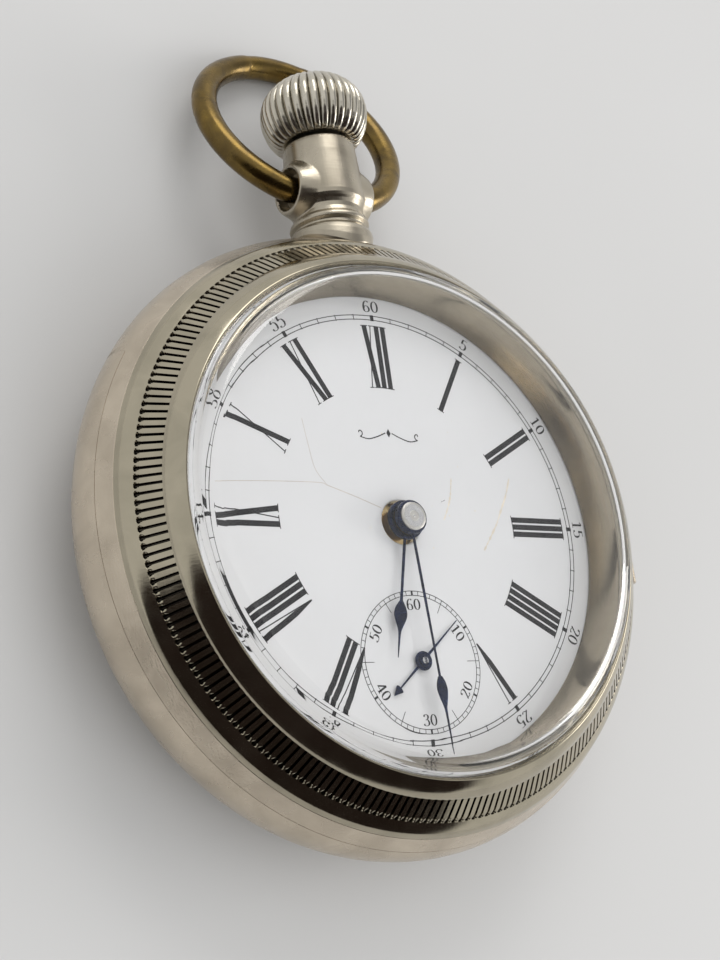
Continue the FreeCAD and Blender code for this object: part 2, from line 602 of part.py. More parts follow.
phases = {"centre_pinion": 0.0, "centre_wheel": 0.0, "third_wheel": 0.0, "fourth_wheel": 0.0, "cannon": 0.0,
          "crown_wheel": 0.0}
phases["barrel"] = mesh_phase(CENTRE_PINION, phases["centre_pinion"], CENTRE, BARREL_TEETH, BARREL)
phases["third_pinion"] = mesh_phase(CENTRE_TEETH, phases["centre_wheel"], CENTRE, THIRD_PINION, THIRD)
phases["fourth_pinion"] = mesh_phase(THIRD_TEETH, phases["third_wheel"], THIRD, FOURTH_PINION, FOURTH)
phases["escape_pinion"] = mesh_phase(FOURTH_TEETH, phases["fourth_wheel"], FOURTH, ESCAPE_PINION, ESCAPE)
phases["minute_wheel"] = mesh_phase(CANNON_TEETH, phases["cannon"], CENTRE, MINUTE_TEETH, MINUTE_WORK)
phases["minute_pinion"] = 0.0
phases["hour_wheel"] = mesh_phase(MINUTE_PINION, phases["minute_pinion"], MINUTE_WORK, HOUR_TEETH, CENTRE)
phases["setting"] = mesh_phase(MINUTE_TEETH, phases["minute_wheel"], MINUTE_WORK, SETTING_TEETH, SETTING)
phases["ratchet"] = mesh_phase(CROWN_TEETH, phases["crown_wheel"], CROWN_WHEEL, RATCHET_TEETH, BARREL)

save("case_centre", case_centre())
save("back_cover", back_cover())
save("back_hinge_pin", hinge_bar(-HINGE_HALF + 0.05, HINGE_HALF - 0.05, HINGE_PIN_R))
save("bezel", bezel())
save("crystal", crystal())
save("pendant", pendant())
save("pendant_sleeve", pendant_sleeve())
save("bow", bow())
save("crown", crown())
save("winding_stem", stem())

# dial and its feet
dial = drilled(tube(CENTRE, 0, DIAL_R, DIAL_Z - DIAL_T, DIAL_Z), [(CENTRE, 1.95, 10, 12), (FOURTH, 0.55, 10, 12)])
save("dial", dial)
save("dial_feet", [tube(polar(*foot), 0, 0.55, 9.10, DIAL_Z - DIAL_T - 0.005) for foot in DIAL_FEET])

# plates, pillars, screws, jewels
save("pillar_plate", pillar_plate())
save("top_plate", top_plate())
pillars = []
for pillar in PILLARS:
    post = fuse([tube(polar(*pillar), 0, 1.2, TOP_Z1 + 0.01, PLATE_Z0 - 0.01),
                 tube(polar(*pillar), 0, 0.58, PLATE_Z0 - 0.1, PLATE_Z0 + 1.15)])
    pillars.append(drilled(post, [(polar(*pillar), SCREW_R, 4, 6.6)]))
save("pillars", pillars)
save("plate_screws", [screw(polar(*pillar), TOP_Z0 + 0.02, 1, 2.4) for pillar in PILLARS])
save("case_screws", [screw(polar(*s), LEDGE_Z0 - 0.42, 1, 2.4, 0.9, 0.40, SCREW_R - 0.02) for s in CASE_SCREWS])
save("plate_jewels", [jewel(at, PLATE_Z0 + 0.01, PLATE_Z0 + 0.45, 0.60) for at in (THIRD, ESCAPE, PALLET, BALANCE)])
save("top_jewels", [jewel(at, TOP_Z0 + 0.15, TOP_Z0 + 0.65, 0.60) for at in (CENTRE, THIRD, FOURTH, ESCAPE, PALLET)])
save("centre_bushes", [tube(CENTRE, 0.49, 0.60, PLATE_Z0 + 0.01, RECESS_Z - 0.02),
                       tube(FOURTH, 0.33, 0.60, PLATE_Z0 + 0.01, PLATE_Z1 - 0.6)])

# balance and its cock
save("balance_cock", balance_cock())
save("cock_screw", screw(cock_foot(), 1.92, 1, 2.9, 0.85, 0.36))
save("cock_jewel", jewel(BALANCE, 1.98, 2.52, 0.60))
save("balance_wheel", balance_wheel())
save("balance_staff", balance_staff())
save("roller", roller())
save("hairspring", hairspring())
stud_at = polar(5.05, 0.0, BALANCE)
save("hairspring_stud", tube(stud_at, 0, 0.30, 3.60, TOP_Z0 - 0.01))
regulator_arm = Part.makeBox(5.2, 0.55, 0.30, V(BALANCE[0] + 1.0, BALANCE[1] - 0.275, 1.52))
regulator = fuse([tube(BALANCE, 0, 1.45, 1.52, 1.82), regulator_arm])
regulator = drilled(regulator, [(BALANCE, 0.66, 1, 3)])
regulator.rotate(V(BALANCE[0], BALANCE[1], 0), V(0, 0, 1), 20)
save("regulator", regulator)

# escapement
save("pallet_fork", pallet_fork())
save("pallet_arbor", arbor(PALLET, [(4.2, 5.1, PIVOT_R), (5.05, 6.9, 0.29), (6.85, 8.45, 0.22), (8.4, 8.95, PIVOT_R)]))
save("escape_wheel", escape_wheel())
escape_arbor = fuse([
    arbor(ESCAPE, [(4.2, 5.1, PIVOT_R), (5.05, 8.45, 0.29), (8.4, 8.95, PIVOT_R)]),
    pinion(ESCAPE, ESCAPE_PINION, FOURTH_M, 7.20, 7.85, phases["escape_pinion"])])
save("escape_arbor", escape_arbor)

# going train
fourth_arbor = fuse([
    arbor(FOURTH, [(4.2, 5.1, PIVOT_R), (5.05, 8.50, 0.45), (8.45, 12.20, 0.30)]),
    pinion(FOURTH, FOURTH_PINION, THIRD_M, 6.10, 6.75, phases["fourth_pinion"])])
save("fourth_arbor", fourth_arbor)
fourth_wheel = wheel(FOURTH, FOURTH_TEETH, FOURTH_M, 7.40, 7.65, phases["fourth_wheel"], 0.9)
save("fourth_wheel", drilled(fourth_wheel, [(FOURTH, 0.46, 7, 8)]))
third_arbor = fuse([
    arbor(THIRD, [(4.2, 5.1, PIVOT_R), (5.05, 8.48, 0.45), (8.45, 8.95, PIVOT_R)]),
    pinion(THIRD, THIRD_PINION, CENTRE_M, 7.70, 8.40, phases["third_pinion"])])
save("third_arbor", third_arbor)
third_wheel = wheel(THIRD, THIRD_TEETH, THIRD_M, 6.30, 6.55, phases["third_wheel"], 0.9)
save("third_wheel", drilled(third_wheel, [(THIRD, 0.46, 6, 7)]))
centre_arbor = fuse([
    arbor(CENTRE, [(4.2, 5.1, PIVOT_R), (5.05, 8.50, 0.80), (8.45, 13.52, 0.47)]),
    pinion(CENTRE, CENTRE_PINION, BARREL_M, 6.60, 7.75, phases["centre_pinion"])])
save("centre_arbor", centre_arbor)
centre_wheel = wheel(CENTRE, CENTRE_TEETH, CENTRE_M, 7.95, 8.25, phases["centre_wheel"], 1.3)
save("centre_wheel", drilled(centre_wheel, [(CENTRE, 0.81, 7, 9)]))

# barrel
save("barrel", barrel())
save("barrel_cover", tube(BARREL, 1.06, BARREL_DRUM_R - 0.47, 5.76, 6.02))
save("mainspring", mainspring())
barrel_arbor = arbor(BARREL, [(3.00, 5.60, 1.0), (5.5, 5.72, 1.0), (5.70, 6.2, 1.0), (6.1, 7.42, 1.9),
                              (7.40, 8.45, 1.0), (8.40, 8.95, 0.55)])
save("barrel_arbor", barrel_arbor)
ratchet = plate_from([gear_wire(BARREL, RATCHET_TEETH, WIND_M, 3.40, phases["ratchet"]),
                      circle_wire(BARREL, 1.01, 3.40)], 0.52)
save("ratchet_wheel", ratchet)
save("ratchet_screw", screw(BARREL, 2.55, 1, 0.43, 1.7, 0.40, 1.0))

# winding work
crown_wheel = fuse([
    plate_from([gear_wire(CROWN_WHEEL, CROWN_TEETH, WIND_M, 3.40, phases["crown_wheel"])], 0.52),
    tube(CROWN_WHEEL, 0, 0.80, 3.8, 5.2), tube(CROWN_WHEEL, 0, 3.55, 5.06, 5.28),
    plate_from([gear_wire(CROWN_WHEEL, CROWN_TEETH, WIND_M, 5.25, 3.0), circle_wire(CROWN_WHEEL, 2.9, 5.25)], 0.12)])
save("crown_wheel", crown_wheel)
click_tip = polar(5.50, math.degrees(math.atan2(CLICK[1] - BARREL[1], CLICK[0] - BARREL[0])) + 32.0, BARREL)
click_body = Part.makePolygon([V(CLICK[0] - 0.75, CLICK[1] - 0.5, 3.42), V(CLICK[0] + 0.8, CLICK[1] - 0.3, 3.42),
                               V(click_tip[0] + 0.45, click_tip[1] + 0.35, 3.42),
                               V(click_tip[0] + 0.12, click_tip[1] + 0.02, 3.42),
                               V(CLICK[0] - 0.75, CLICK[1] - 0.5, 3.42)])
click = fuse([Part.Face(click_body).extrude(V(0, 0, 0.45)), tube(CLICK, 0, 0.95, 3.42, 3.87),
              tube(CLICK, 0, 0.42, 3.5, 4.95)])
near_ratchet = Part.makeCylinder(WIND_M * RATCHET_TEETH / 2 + 0.24, 2, V(BARREL[0], BARREL[1], 3))
save("click", click.cut(near_ratchet))
wind_pinion = plate_from([gear_wire(CENTRE, WIND_PINION, WIND_M, 16.45, 6.0), circle_wire(CENTRE, 0.88, 16.45)], 1.75)
wind_pinion.rotate(V(0, 0, 0), V(1, 0, 0), -90)
wind_pinion.translate(V(0, 0, STEM_Z))
save("winding_pinion", wind_pinion)
clutch = lathe_stem([(0, 15.10), (1.25, 15.10), (1.25, 15.5), (1.0, 15.6), (1.0, 15.85), (1.25, 15.95), (1.25, 16.40),
                     (0, 16.40)])
save("winding_clutch", clutch.cut(Part.makeBox(1.16, 4, 1.16, V(-0.58, 14, STEM_Z - 0.58))))

# motion work under the dial
cannon = fuse([tube(CENTRE, 0, 1.0, 9.55, 13.56),
               pinion(CENTRE, CANNON_TEETH, CANNON_M, 9.55, 9.98, phases["cannon"])])
save("cannon_pinion", drilled(cannon, [(CENTRE, 0.485, 9, 15)]))
minute_wheel = fuse([wheel(MINUTE_WORK, MINUTE_TEETH, CANNON_M, 9.62, 9.84, phases["minute_wheel"], 1.1, 4),
                     pinion(MINUTE_WORK, MINUTE_PINION, HOUR_M, 9.80, 10.45, phases["minute_pinion"])])
save("minute_wheel", drilled(minute_wheel, [(MINUTE_WORK, 0.44, 9, 11)]))
hour_wheel = fuse([wheel(CENTRE, HOUR_TEETH, HOUR_M, 10.08, 10.32, phases["hour_wheel"], 1.7),
                   tube(CENTRE, 0, 1.36, 10.02, 12.47)])
save("hour_wheel", drilled(hour_wheel, [(CENTRE, 1.06, 9, 14)]))
setting = wheel(SETTING, SETTING_TEETH, CANNON_M, 9.62, 9.84, phases["setting"], 0.7, 4)
save("setting_wheel", drilled(setting, [(SETTING, 0.44, 9, 11)]))

# hands
hour_outline = [(1.2, 0.16), (7.4, 0.13), (7.9, 0.42), (8.4, 0.62), (8.9, 0.60), (9.5, 0.36), (10.0, 0.14),
                (12.5, 0.05)]
minute_outline = [(1.2, 0.17), (13.9, 0.12), (14.6, 0.40), (15.2, 0.48), (15.8, 0.34), (16.6, 0.12), (20.5, 0.05)]
second_outline = [(-4.5, 0.02), (-3.7, 0.42), (-3.55, 0.10), (-0.5, 0.10), (0.5, 0.10), (5.5, 0.05)]
save("hour_hand", hand(hour_outline, HOUR_ANGLE, HOUR_HAND_Z, CENTRE, 1.75, 1.38, (1.75, 11.96, 12.50)))
save("minute_hand", hand(minute_outline, MINUTE_ANGLE, MINUTE_HAND_Z, CENTRE, 1.5, 1.02, (1.5, 12.64, 13.36)))
save("second_hand", hand(second_outline, SECOND_ANGLE, SECOND_HAND_Z, FOURTH, 0.85, 0.31, (0.62, 11.66, 12.18)))
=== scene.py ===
import json
import math
import random

import bmesh
import bpy
import numpy as np
from mathutils import Matrix, Vector

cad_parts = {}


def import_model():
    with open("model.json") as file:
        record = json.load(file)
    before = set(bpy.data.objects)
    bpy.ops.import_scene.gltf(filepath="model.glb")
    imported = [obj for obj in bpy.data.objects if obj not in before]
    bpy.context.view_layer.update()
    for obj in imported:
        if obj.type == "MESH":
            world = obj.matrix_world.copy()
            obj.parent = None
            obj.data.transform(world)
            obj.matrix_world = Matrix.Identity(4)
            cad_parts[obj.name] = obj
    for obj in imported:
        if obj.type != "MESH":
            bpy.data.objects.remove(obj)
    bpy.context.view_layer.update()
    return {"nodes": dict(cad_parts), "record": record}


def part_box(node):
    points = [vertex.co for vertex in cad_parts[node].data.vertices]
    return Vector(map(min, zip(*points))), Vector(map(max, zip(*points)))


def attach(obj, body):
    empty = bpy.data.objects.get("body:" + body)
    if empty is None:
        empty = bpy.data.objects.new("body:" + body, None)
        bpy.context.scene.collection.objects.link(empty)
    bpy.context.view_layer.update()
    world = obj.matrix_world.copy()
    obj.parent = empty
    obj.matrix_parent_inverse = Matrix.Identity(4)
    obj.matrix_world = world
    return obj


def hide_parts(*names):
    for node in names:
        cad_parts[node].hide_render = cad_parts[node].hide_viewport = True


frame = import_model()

random.seed(7)
MM = 0.001

# ---------------------------------------------------------------- places and sizes in millimetres
dial_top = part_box("dial")[1].z / MM
dial_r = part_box("dial")[1].x / MM
bezel_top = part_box("bezel")[1].z / MM
crystal_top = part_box("crystal")[1].z / MM
crown_y0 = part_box("crown")[0].y / MM           # face of the crown towards the pendant
stem_z = (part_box("crown")[0].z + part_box("crown")[1].z) / 2 / MM

nose_r, nose_z, nose = 23.01, 7.45, 5.35       # centre and radius of the rounded side of the case
shoulder = math.radians(27.0)                  # slope of the side just under the bezel
wall, rim_wall = 0.80, 0.90                    # back cover, in the middle and at its rim
rest_r = 7.0                                   # flat spot that the watch lies on
dome_r, dome_angle = 120.0, math.radians(-79.6)   # dome of the back, and where the rounded side starts
back_seam, front_seam = 9.65, 11.30
seam_lip = 0.015                               # rounded edge of each seam
notch_half, notch_z = math.radians(57.5), 3.40    # step in the back cover's rim, round the pendant
hinge_x, knuckle_r, hinge_pin_r = 27.9, 0.70, 0.36
seat_z, sight_r = 15.0, 21.0                   # crystal's seat, and the opening over the dial

pivot_y, pivot_z = 33.5, 7.5                   # bow pivot
track_r = 19.3                                 # outer line of the minute track
seconds_centre = (0.0, -12.3)
hour_angle, minute_angle, second_angle = -103.3, -87.2, 40.0


# ---------------------------------------------------------------- meshes
def finish_mesh(obj, angle=35.0):
    """Faces turned outward and smooth, with sharp edges kept above an angle."""
    mesh = obj.data
    work = bmesh.new()
    work.from_mesh(mesh)
    bmesh.ops.recalc_face_normals(work, faces=work.faces)
    work.to_mesh(mesh)
    work.free()
    mesh.polygons.foreach_set("use_smooth", [True] * len(mesh.polygons))
    mesh.set_sharp_from_angle(angle=math.radians(angle))
    return obj


def grid(name, points, close_u=True, close_v=True, angle=35.0, painted_recess_shade=None):
    """Mesh from a grid of points in millimetres, where points[u][v] is (x, y, z).

    The per-point painted shade goes from 0, none, to 1, full."""
    pts = np.asarray(points, float) * MM
    nu, nv = pts.shape[:2]
    faces = []
    for i in range(nu if close_u else nu - 1):
        for j in range(nv if close_v else nv - 1):
            a, b = i * nv + j, i * nv + (j + 1) % nv
            c, d = ((i + 1) % nu) * nv + (j + 1) % nv, ((i + 1) % nu) * nv + j
            faces.append((a, d, c, b))
    mesh = bpy.data.meshes.new(name)
    mesh.from_pydata([tuple(p) for p in pts.reshape(-1, 3)], [], faces)
    mesh.update()
    # Per-point amount of painted shade, read by the metal shader.
    if painted_recess_shade is not None:
        layer = mesh.attributes.new("painted_recess_shade", "FLOAT", "POINT")
        layer.data.foreach_set("value", np.asarray(painted_recess_shade, np.float32).reshape(-1))
    obj = bpy.data.objects.new(name, mesh)
    bpy.context.scene.collection.objects.link(obj)
    return finish_mesh(obj, angle)


def fillet(points, steps=5):
    """Outline with rounded corners. A point is (r, z) or (r, z, radius)."""
    out = []
    for i, point in enumerate(points):
        p = Vector(point[:2])
        radius = point[2] if len(point) > 2 else 0.0
        if radius <= 0:
            out.append(tuple(p))
            continue
        a, b = Vector(points[i - 1][:2]) - p, Vector(points[(i + 1) % len(points)][:2]) - p
        reach = min(radius, 0.45 * a.length, 0.45 * b.length)
        start, end = p + a.normalized() * reach, p + b.normalized() * reach
        for k in range(steps + 1):
            t = k / steps
            out.append(tuple(start * (1 - t) ** 2 + p * 2 * t * (1 - t) + end * t * t))
    return out


def lathe(name, profile, steps=256, centre=(0.0, 0.0), angle=35.0):
    """Surface turned about a line along Z from a closed (r, z) outline."""
    prof = np.asarray(profile, float)
    turns = np.arange(steps) * 2 * math.pi / steps
    x = centre[0] + np.outer(np.cos(turns), prof[:, 0])
    y = centre[1] + np.outer(np.sin(turns), prof[:, 0])
    z = np.tile(prof[:, 1], (steps, 1))
    return grid(name, np.stack([x, y, z], axis=2), True, True, angle)


def turned(profile, theta):
    """One (r, z) outline stood up at an angle round the watch's axis."""
    c, s = math.cos(theta), math.sin(theta)
    return [(r * c, r * s, z) for r, z in profile]


def add(obj, body, nodes, material):
    """Give a piece its material and slot, hang it on its body and hide the nodes it stands for."""
    obj.data.materials.clear()
    obj.data.materials.append(material)
    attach(obj, body)
    if nodes:
        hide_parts(*nodes)


# ---------------------------------------------------------------- materials
def shade_of(color, factor):
    return tuple(factor * c for c in color)


class Surface:
    """Small helper that builds one node material."""

    def __init__(self, name, color, metallic, roughness):
        self.material = bpy.data.materials.new(name)
        self.material.use_nodes = True
        self.nodes = self.material.node_tree.nodes
        self.links = self.material.node_tree.links
        self.shader = self.nodes["Principled BSDF"]
        self.shader.inputs["Base Color"].default_value = (*color, 1)
        self.shader.inputs["Metallic"].default_value = metallic
        self.shader.inputs["Roughness"].default_value = roughness
        self.coord = self.nodes.new("ShaderNodeTexCoord").outputs["Object"]

    def noise(self, scale, detail=3.0, stretch=(1, 1, 1), distortion=0.0):
        mapping = self.nodes.new("ShaderNodeMapping")
        mapping.inputs["Scale"].default_value = stretch
        self.links.new(self.coord, mapping.inputs["Vector"])
        tex = self.nodes.new("ShaderNodeTexNoise")
        tex.inputs["Scale"].default_value = scale
        tex.inputs["Detail"].default_value = detail
        tex.inputs["Distortion"].default_value = distortion
        self.links.new(mapping.outputs["Vector"], tex.inputs["Vector"])
        return tex.outputs["Fac"]

    def axis_distance(self):
        """Distance from the watch's axis, in metres."""
        flat = self.nodes.new("ShaderNodeVectorMath")
        flat.operation = "MULTIPLY"
        flat.inputs[1].default_value = (1, 1, 0)
        self.links.new(self.coord, flat.inputs[0])
        size = self.nodes.new("ShaderNodeVectorMath")
        size.operation = "LENGTH"
        self.links.new(flat.outputs["Vector"], size.inputs[0])
        return size.outputs["Value"]

    def ramp(self, value, stops):
        node = self.nodes.new("ShaderNodeValToRGB")
        points = node.color_ramp.elements
        while len(points) < len(stops):
            points.new(0.5)
        for point, (at, color) in zip(points, stops):
            point.position = at
            point.color = (*color, 1)
        self.links.new(value, node.inputs["Fac"])
        return node.outputs["Color"]

    def spread(self, value, low, high, at0=0.3, at1=0.7):
        """Value from at0 to at1 mapped to low to high."""
        node = self.nodes.new("ShaderNodeMapRange")
        node.inputs["From Min"].default_value = at0
        node.inputs["From Max"].default_value = at1
        node.inputs["To Min"].default_value = low
        node.inputs["To Max"].default_value = high
        self.links.new(value, node.inputs["Value"])
        return node.outputs["Result"]

    def sum(self, a, b):
        node = self.nodes.new("ShaderNodeMath")
        node.operation = "ADD"
        self.links.new(a, node.inputs[0])
        self.links.new(b, node.inputs[1])
        return node.outputs[0]

    def blend(self, factor, a, b):
        """Colour a where the factor is 0 and b where it is 1. b may be a plain colour."""
        node = self.nodes.new("ShaderNodeMix")
        node.data_type = "RGBA"
        self.links.new(factor, node.inputs[0])
        self.links.new(a, node.inputs[6])
        if isinstance(b, tuple):
            node.inputs[7].default_value = (*b, 1)
        else:
            self.links.new(b, node.inputs[7])
        return node.outputs[2]

    def bump(self, height, strength, distance):
        node = self.nodes.new("ShaderNodeBump")
        node.inputs["Strength"].default_value = strength
        node.inputs["Distance"].default_value = distance
        self.links.new(height, node.inputs["Height"])
        self.links.new(node.outputs["Normal"], self.shader.inputs["Normal"])

    def color_from(self, socket):
        self.links.new(socket, self.shader.inputs["Base Color"])

    def roughness_from(self, socket):
        self.links.new(socket, self.shader.inputs["Roughness"])


def tarnished(s, tone, radius, color):
    """Tone outside a radius in millimetres, and inside it a grainy colour that darkens towards the dial."""
    distance = s.axis_distance()
    inside = s.spread(distance, 1.0, 0.0, (radius - 0.1) * MM, (radius + 0.1) * MM)
    height = s.spread(distance, 0.0, 1.0, (radius - 1.1) * MM, radius * MM)
    slope_tone = s.ramp(height, [(0.0, shade_of(color, 0.62)), (0.45, color), (1.0, shade_of(color, 1.12))])
    grain = s.spread(s.noise(1600.0, 4.0), 0.0, 0.30)
    return s.blend(inside, tone, s.blend(grain, slope_tone, shade_of(color, 0.7)))


def metal(name, light, dark, rough, scratch, cloud=260.0, tarnish=None):
    """Worn metal: cloudy tone, uneven polish, fine crossed scratches, and near-black painted shade where the
    mesh's per-point amount says so.

    rough is (least, most). tarnish is (radius in millimetres, colour): the tone changes inside it."""
    scratch_scale = 5200.0
    s = Surface(name, light, 1.0, rough[0])
    tone = s.ramp(s.noise(cloud, 5.0, distortion=0.6), [(0.30, dark), (0.62, light)])
    if tarnish:
        tone = tarnished(s, tone, *tarnish)
    # Painted shade: a near-black tone mixed in by the mesh's per-point amount, which puts shade into the
    # bezel's grooves and the crown's flute valleys.
    painted_recess_shade = s.nodes.new("ShaderNodeAttribute")
    painted_recess_shade.attribute_name = "painted_recess_shade"
    painted_shade = s.ramp(s.noise(cloud, 2.0), [(0.3, (0.02, 0.018, 0.015)), (0.7, (0.05, 0.045, 0.035))])
    s.color_from(s.blend(painted_recess_shade.outputs["Fac"], tone, painted_shade))
    s.roughness_from(s.spread(s.noise(cloud * 1.7, 6.0), rough[0], rough[1]))
    lines = s.sum(s.noise(scratch_scale, 2.0, (1, 0.06, 1)), s.noise(scratch_scale, 2.0, (0.06, 1, 0.4)))
    s.bump(lines, scratch, 0.00002)
    return s.material


def enamel():
    """Glossy white enamel with a slight unevenness."""
    s = Surface("white_enamel", (0.71, 0.72, 0.74), 0.0, 0.09)
    s.color_from(s.ramp(s.noise(110.0, 4.0), [(0.25, (0.695, 0.705, 0.725)), (0.6, (0.715, 0.725, 0.745))]))
    s.roughness_from(s.spread(s.noise(420.0, 3.0), 0.07, 0.13))
    s.shader.inputs["Coat Weight"].default_value = 0.4
    s.shader.inputs["Coat Roughness"].default_value = 0.04
    s.bump(s.noise(160.0, 2.0), 0.08, 0.00004)
    return s.material


def ink(name, color, rough=0.3):
    """Fired paint on the dial, uneven in tone."""
    s = Surface(name, color, 0.0, rough)
    pale = tuple(min(1.0, c * 1.35 + 0.01) for c in color)
    s.color_from(s.ramp(s.noise(900.0, 3.0), [(0.35, color), (0.7, pale)]))
    s.roughness_from(s.spread(s.noise(1500.0, 2.0), rough, rough + 0.15))
    s.shader.inputs["Specular IOR Level"].default_value = 0.15
    return s.material


def glass():
    """Clear glass that lets the lamps' light straight through."""
    s = Surface("crystal_glass", (1.0, 1.0, 1.0), 0.0, 0.0)
    s.shader.inputs["Transmission Weight"].default_value = 1.0
    s.shader.inputs["IOR"].default_value = 1.5
    s.roughness_from(s.spread(s.noise(300.0, 3.0), 0.0, 0.012))
    clear = s.nodes.new("ShaderNodeBsdfTransparent")
    path = s.nodes.new("ShaderNodeLightPath")
    mix = s.nodes.new("ShaderNodeMixShader")
    s.links.new(path.outputs["Is Shadow Ray"], mix.inputs["Fac"])
    s.links.new(s.shader.outputs["BSDF"], mix.inputs[1])
    s.links.new(clear.outputs["BSDF"], mix.inputs[2])
    s.links.new(mix.outputs["Shader"], s.nodes["Material Output"].inputs["Surface"])
    return s.material


def jewel():
    """Polished red bearing stone."""
    s = Surface("ruby_jewel", (0.45, 0.02, 0.08), 0.0, 0.08)
    s.color_from(s.ramp(s.noise(800.0, 2.0), [(0.3, (0.38, 0.01, 0.06)), (0.7, (0.55, 0.04, 0.10))]))
    s.shader.inputs["Coat Weight"].default_value = 0.6
    return s.material


# each metal: name, light tone, dark tone, roughness from and to, depth of scratches
case_nickel = metal("case_nickel", (0.66, 0.576, 0.464), (0.535, 0.464, 0.37), (0.20, 0.32), 0.5)
bezel_nickel = metal("bezel_nickel", (0.46, 0.415, 0.32), (0.38, 0.345, 0.265), (0.10, 0.18), 0.10,
                     tarnish=(22.12, (0.38, 0.33, 0.25)))
pendant_nickel = metal("pendant_nickel", (0.51, 0.46, 0.37), (0.38, 0.34, 0.27), (0.24, 0.38), 0.4)
crown_nickel = metal("crown_nickel", (0.64, 0.60, 0.52), (0.51, 0.48, 0.40), (0.18, 0.30), 0.2)
worn_brass = metal("worn_brass", (0.22, 0.147, 0.044), (0.115, 0.080, 0.034), (0.20, 0.36), 0.3, 420.0)
turned_steel = metal("turned_steel", (0.50, 0.49, 0.47), (0.40, 0.39, 0.37), (0.34, 0.45), 0.3)
gilt = metal("gilt_brass", (0.80, 0.62, 0.32), (0.68, 0.50, 0.24), (0.22, 0.34), 0.2)
copper = metal("copper", (0.70, 0.42, 0.28), (0.45, 0.26, 0.17), (0.3, 0.5), 0.2)
steel = metal("polished_steel", (0.62, 0.62, 0.63), (0.50, 0.50, 0.51), (0.12, 0.24), 0.15)
plate_nickel = metal("plate_nickel", (0.66, 0.65, 0.62), (0.55, 0.54, 0.51), (0.20, 0.36), 0.35)
blued = metal("blued_steel", (0.010, 0.018, 0.055), (0.004, 0.007, 0.020), (0.20, 0.34), 0.1, 700.0)
dark_steel = metal("spring_steel", (0.25, 0.27, 0.33), (0.16, 0.17, 0.21), (0.2, 0.35), 0.1)
white_enamel = enamel()
black_ink = ink("black_enamel_ink", (0.004, 0.004, 0.006), 0.5)
crack_ink = ink("crack_brown", (0.42, 0.38, 0.34))
stain_ink = ink("stain_tan", (0.58, 0.53, 0.45))
crystal_glass = glass()
ruby = jewel()
SLOT_MATERIAL = {
    "case_nickel": case_nickel, "bezel_nickel": bezel_nickel, "crystal": crystal_glass,
    "bow_brass": worn_brass, "enamel": white_enamel, "blued_steel": blued, "steel": steel, "gilt": gilt,
    "plate_nickel": plate_nickel, "ruby": ruby, "copper": copper, "spring_steel": dark_steel,
}


# ---------------------------------------------------------------- case
def nose_point(radius, phi):
    """Point on a circle about the centre of the case's rounded side."""
    return (nose_r + radius * math.cos(phi), nose_z + radius * math.sin(phi))


def nose_phi(z):
    """Angle at which the rounded side reaches a height."""
    return math.asin((z - nose_z) / nose)


def side_point(z):
    """Outside of the case at a height: the rounded side, then a straight shoulder up to the bezel."""
    r, z0 = nose_point(nose, min(nose_phi(z), shoulder))
    return (r - (z - z0) * math.tan(shoulder), z)


def dome_height(r):
    """Outside of the back at a radius: flat in the middle, then a shallow dome."""
    return max(0.0, (r * r - rest_r * rest_r) / (2 * dome_r))


def rim_height(theta):
    """Height of the back cover's rim: it steps down round the pendant."""
    off = abs((theta - math.pi / 2 + math.pi) % (2 * math.pi) - math.pi)
    t = min(1.0, max(0.0, (off - notch_half) / math.radians(1.4)))
    if t <= 0:
        return notch_z
    return notch_z + (back_seam - notch_z) * (t * t * (3 - 2 * t)) ** 0.35


def rim_angles():
    """Angles round the case, closer together where the rim steps."""
    angles = list(np.linspace(0, 2 * math.pi, 720, endpoint=False))
    for side in (-1, 1):
        edge = math.pi / 2 + side * notch_half
        angles += [(edge + side * math.radians(0.1 * k)) % (2 * math.pi) for k in range(1, 14)]
    return sorted(angles)


def back_cover():
    """Flat rest, dome, rounded rim and inside, with the rim's height following rim_height."""
    lip_angle = seam_lip / nose
    dome_end = nose_point(nose, dome_angle)[0]
    inner_end = nose_point(nose - wall, dome_angle)[0]
    rings = []
    for theta in rim_angles():
        top = nose_phi(rim_height(theta))
        prof = [(0.02, 0.0), (rest_r * 0.5, 0.0), (rest_r - 0.15, 0.0), (rest_r + 0.3, 0.012)]
        for k in range(1, 15):
            r = rest_r + (dome_end - rest_r) * k / 15
            prof.append((r, dome_height(r)))
        for k in range(25):
            prof.append(nose_point(nose, dome_angle + (top - lip_angle - dome_angle) * k / 24))
        prof += [nose_point(nose - 0.03, top - 0.3 * lip_angle), nose_point(nose - seam_lip, top)]
        prof += [nose_point(nose - rim_wall + 0.05, top), nose_point(nose - rim_wall, top - 0.02)]
        for k in range(1, 21):
            thin = (rim_wall - wall) * k / 20
            prof.append(nose_point(nose - rim_wall + thin, top + (dome_angle - top) * k / 20))
        for k in range(1, 9):
            r = inner_end * (1 - k / 8) + 0.02
            prof.append((r, dome_height(r) + wall))
        rings.append(turned(prof, theta))
    return grid("back_shell", rings, True, True, 40.0)


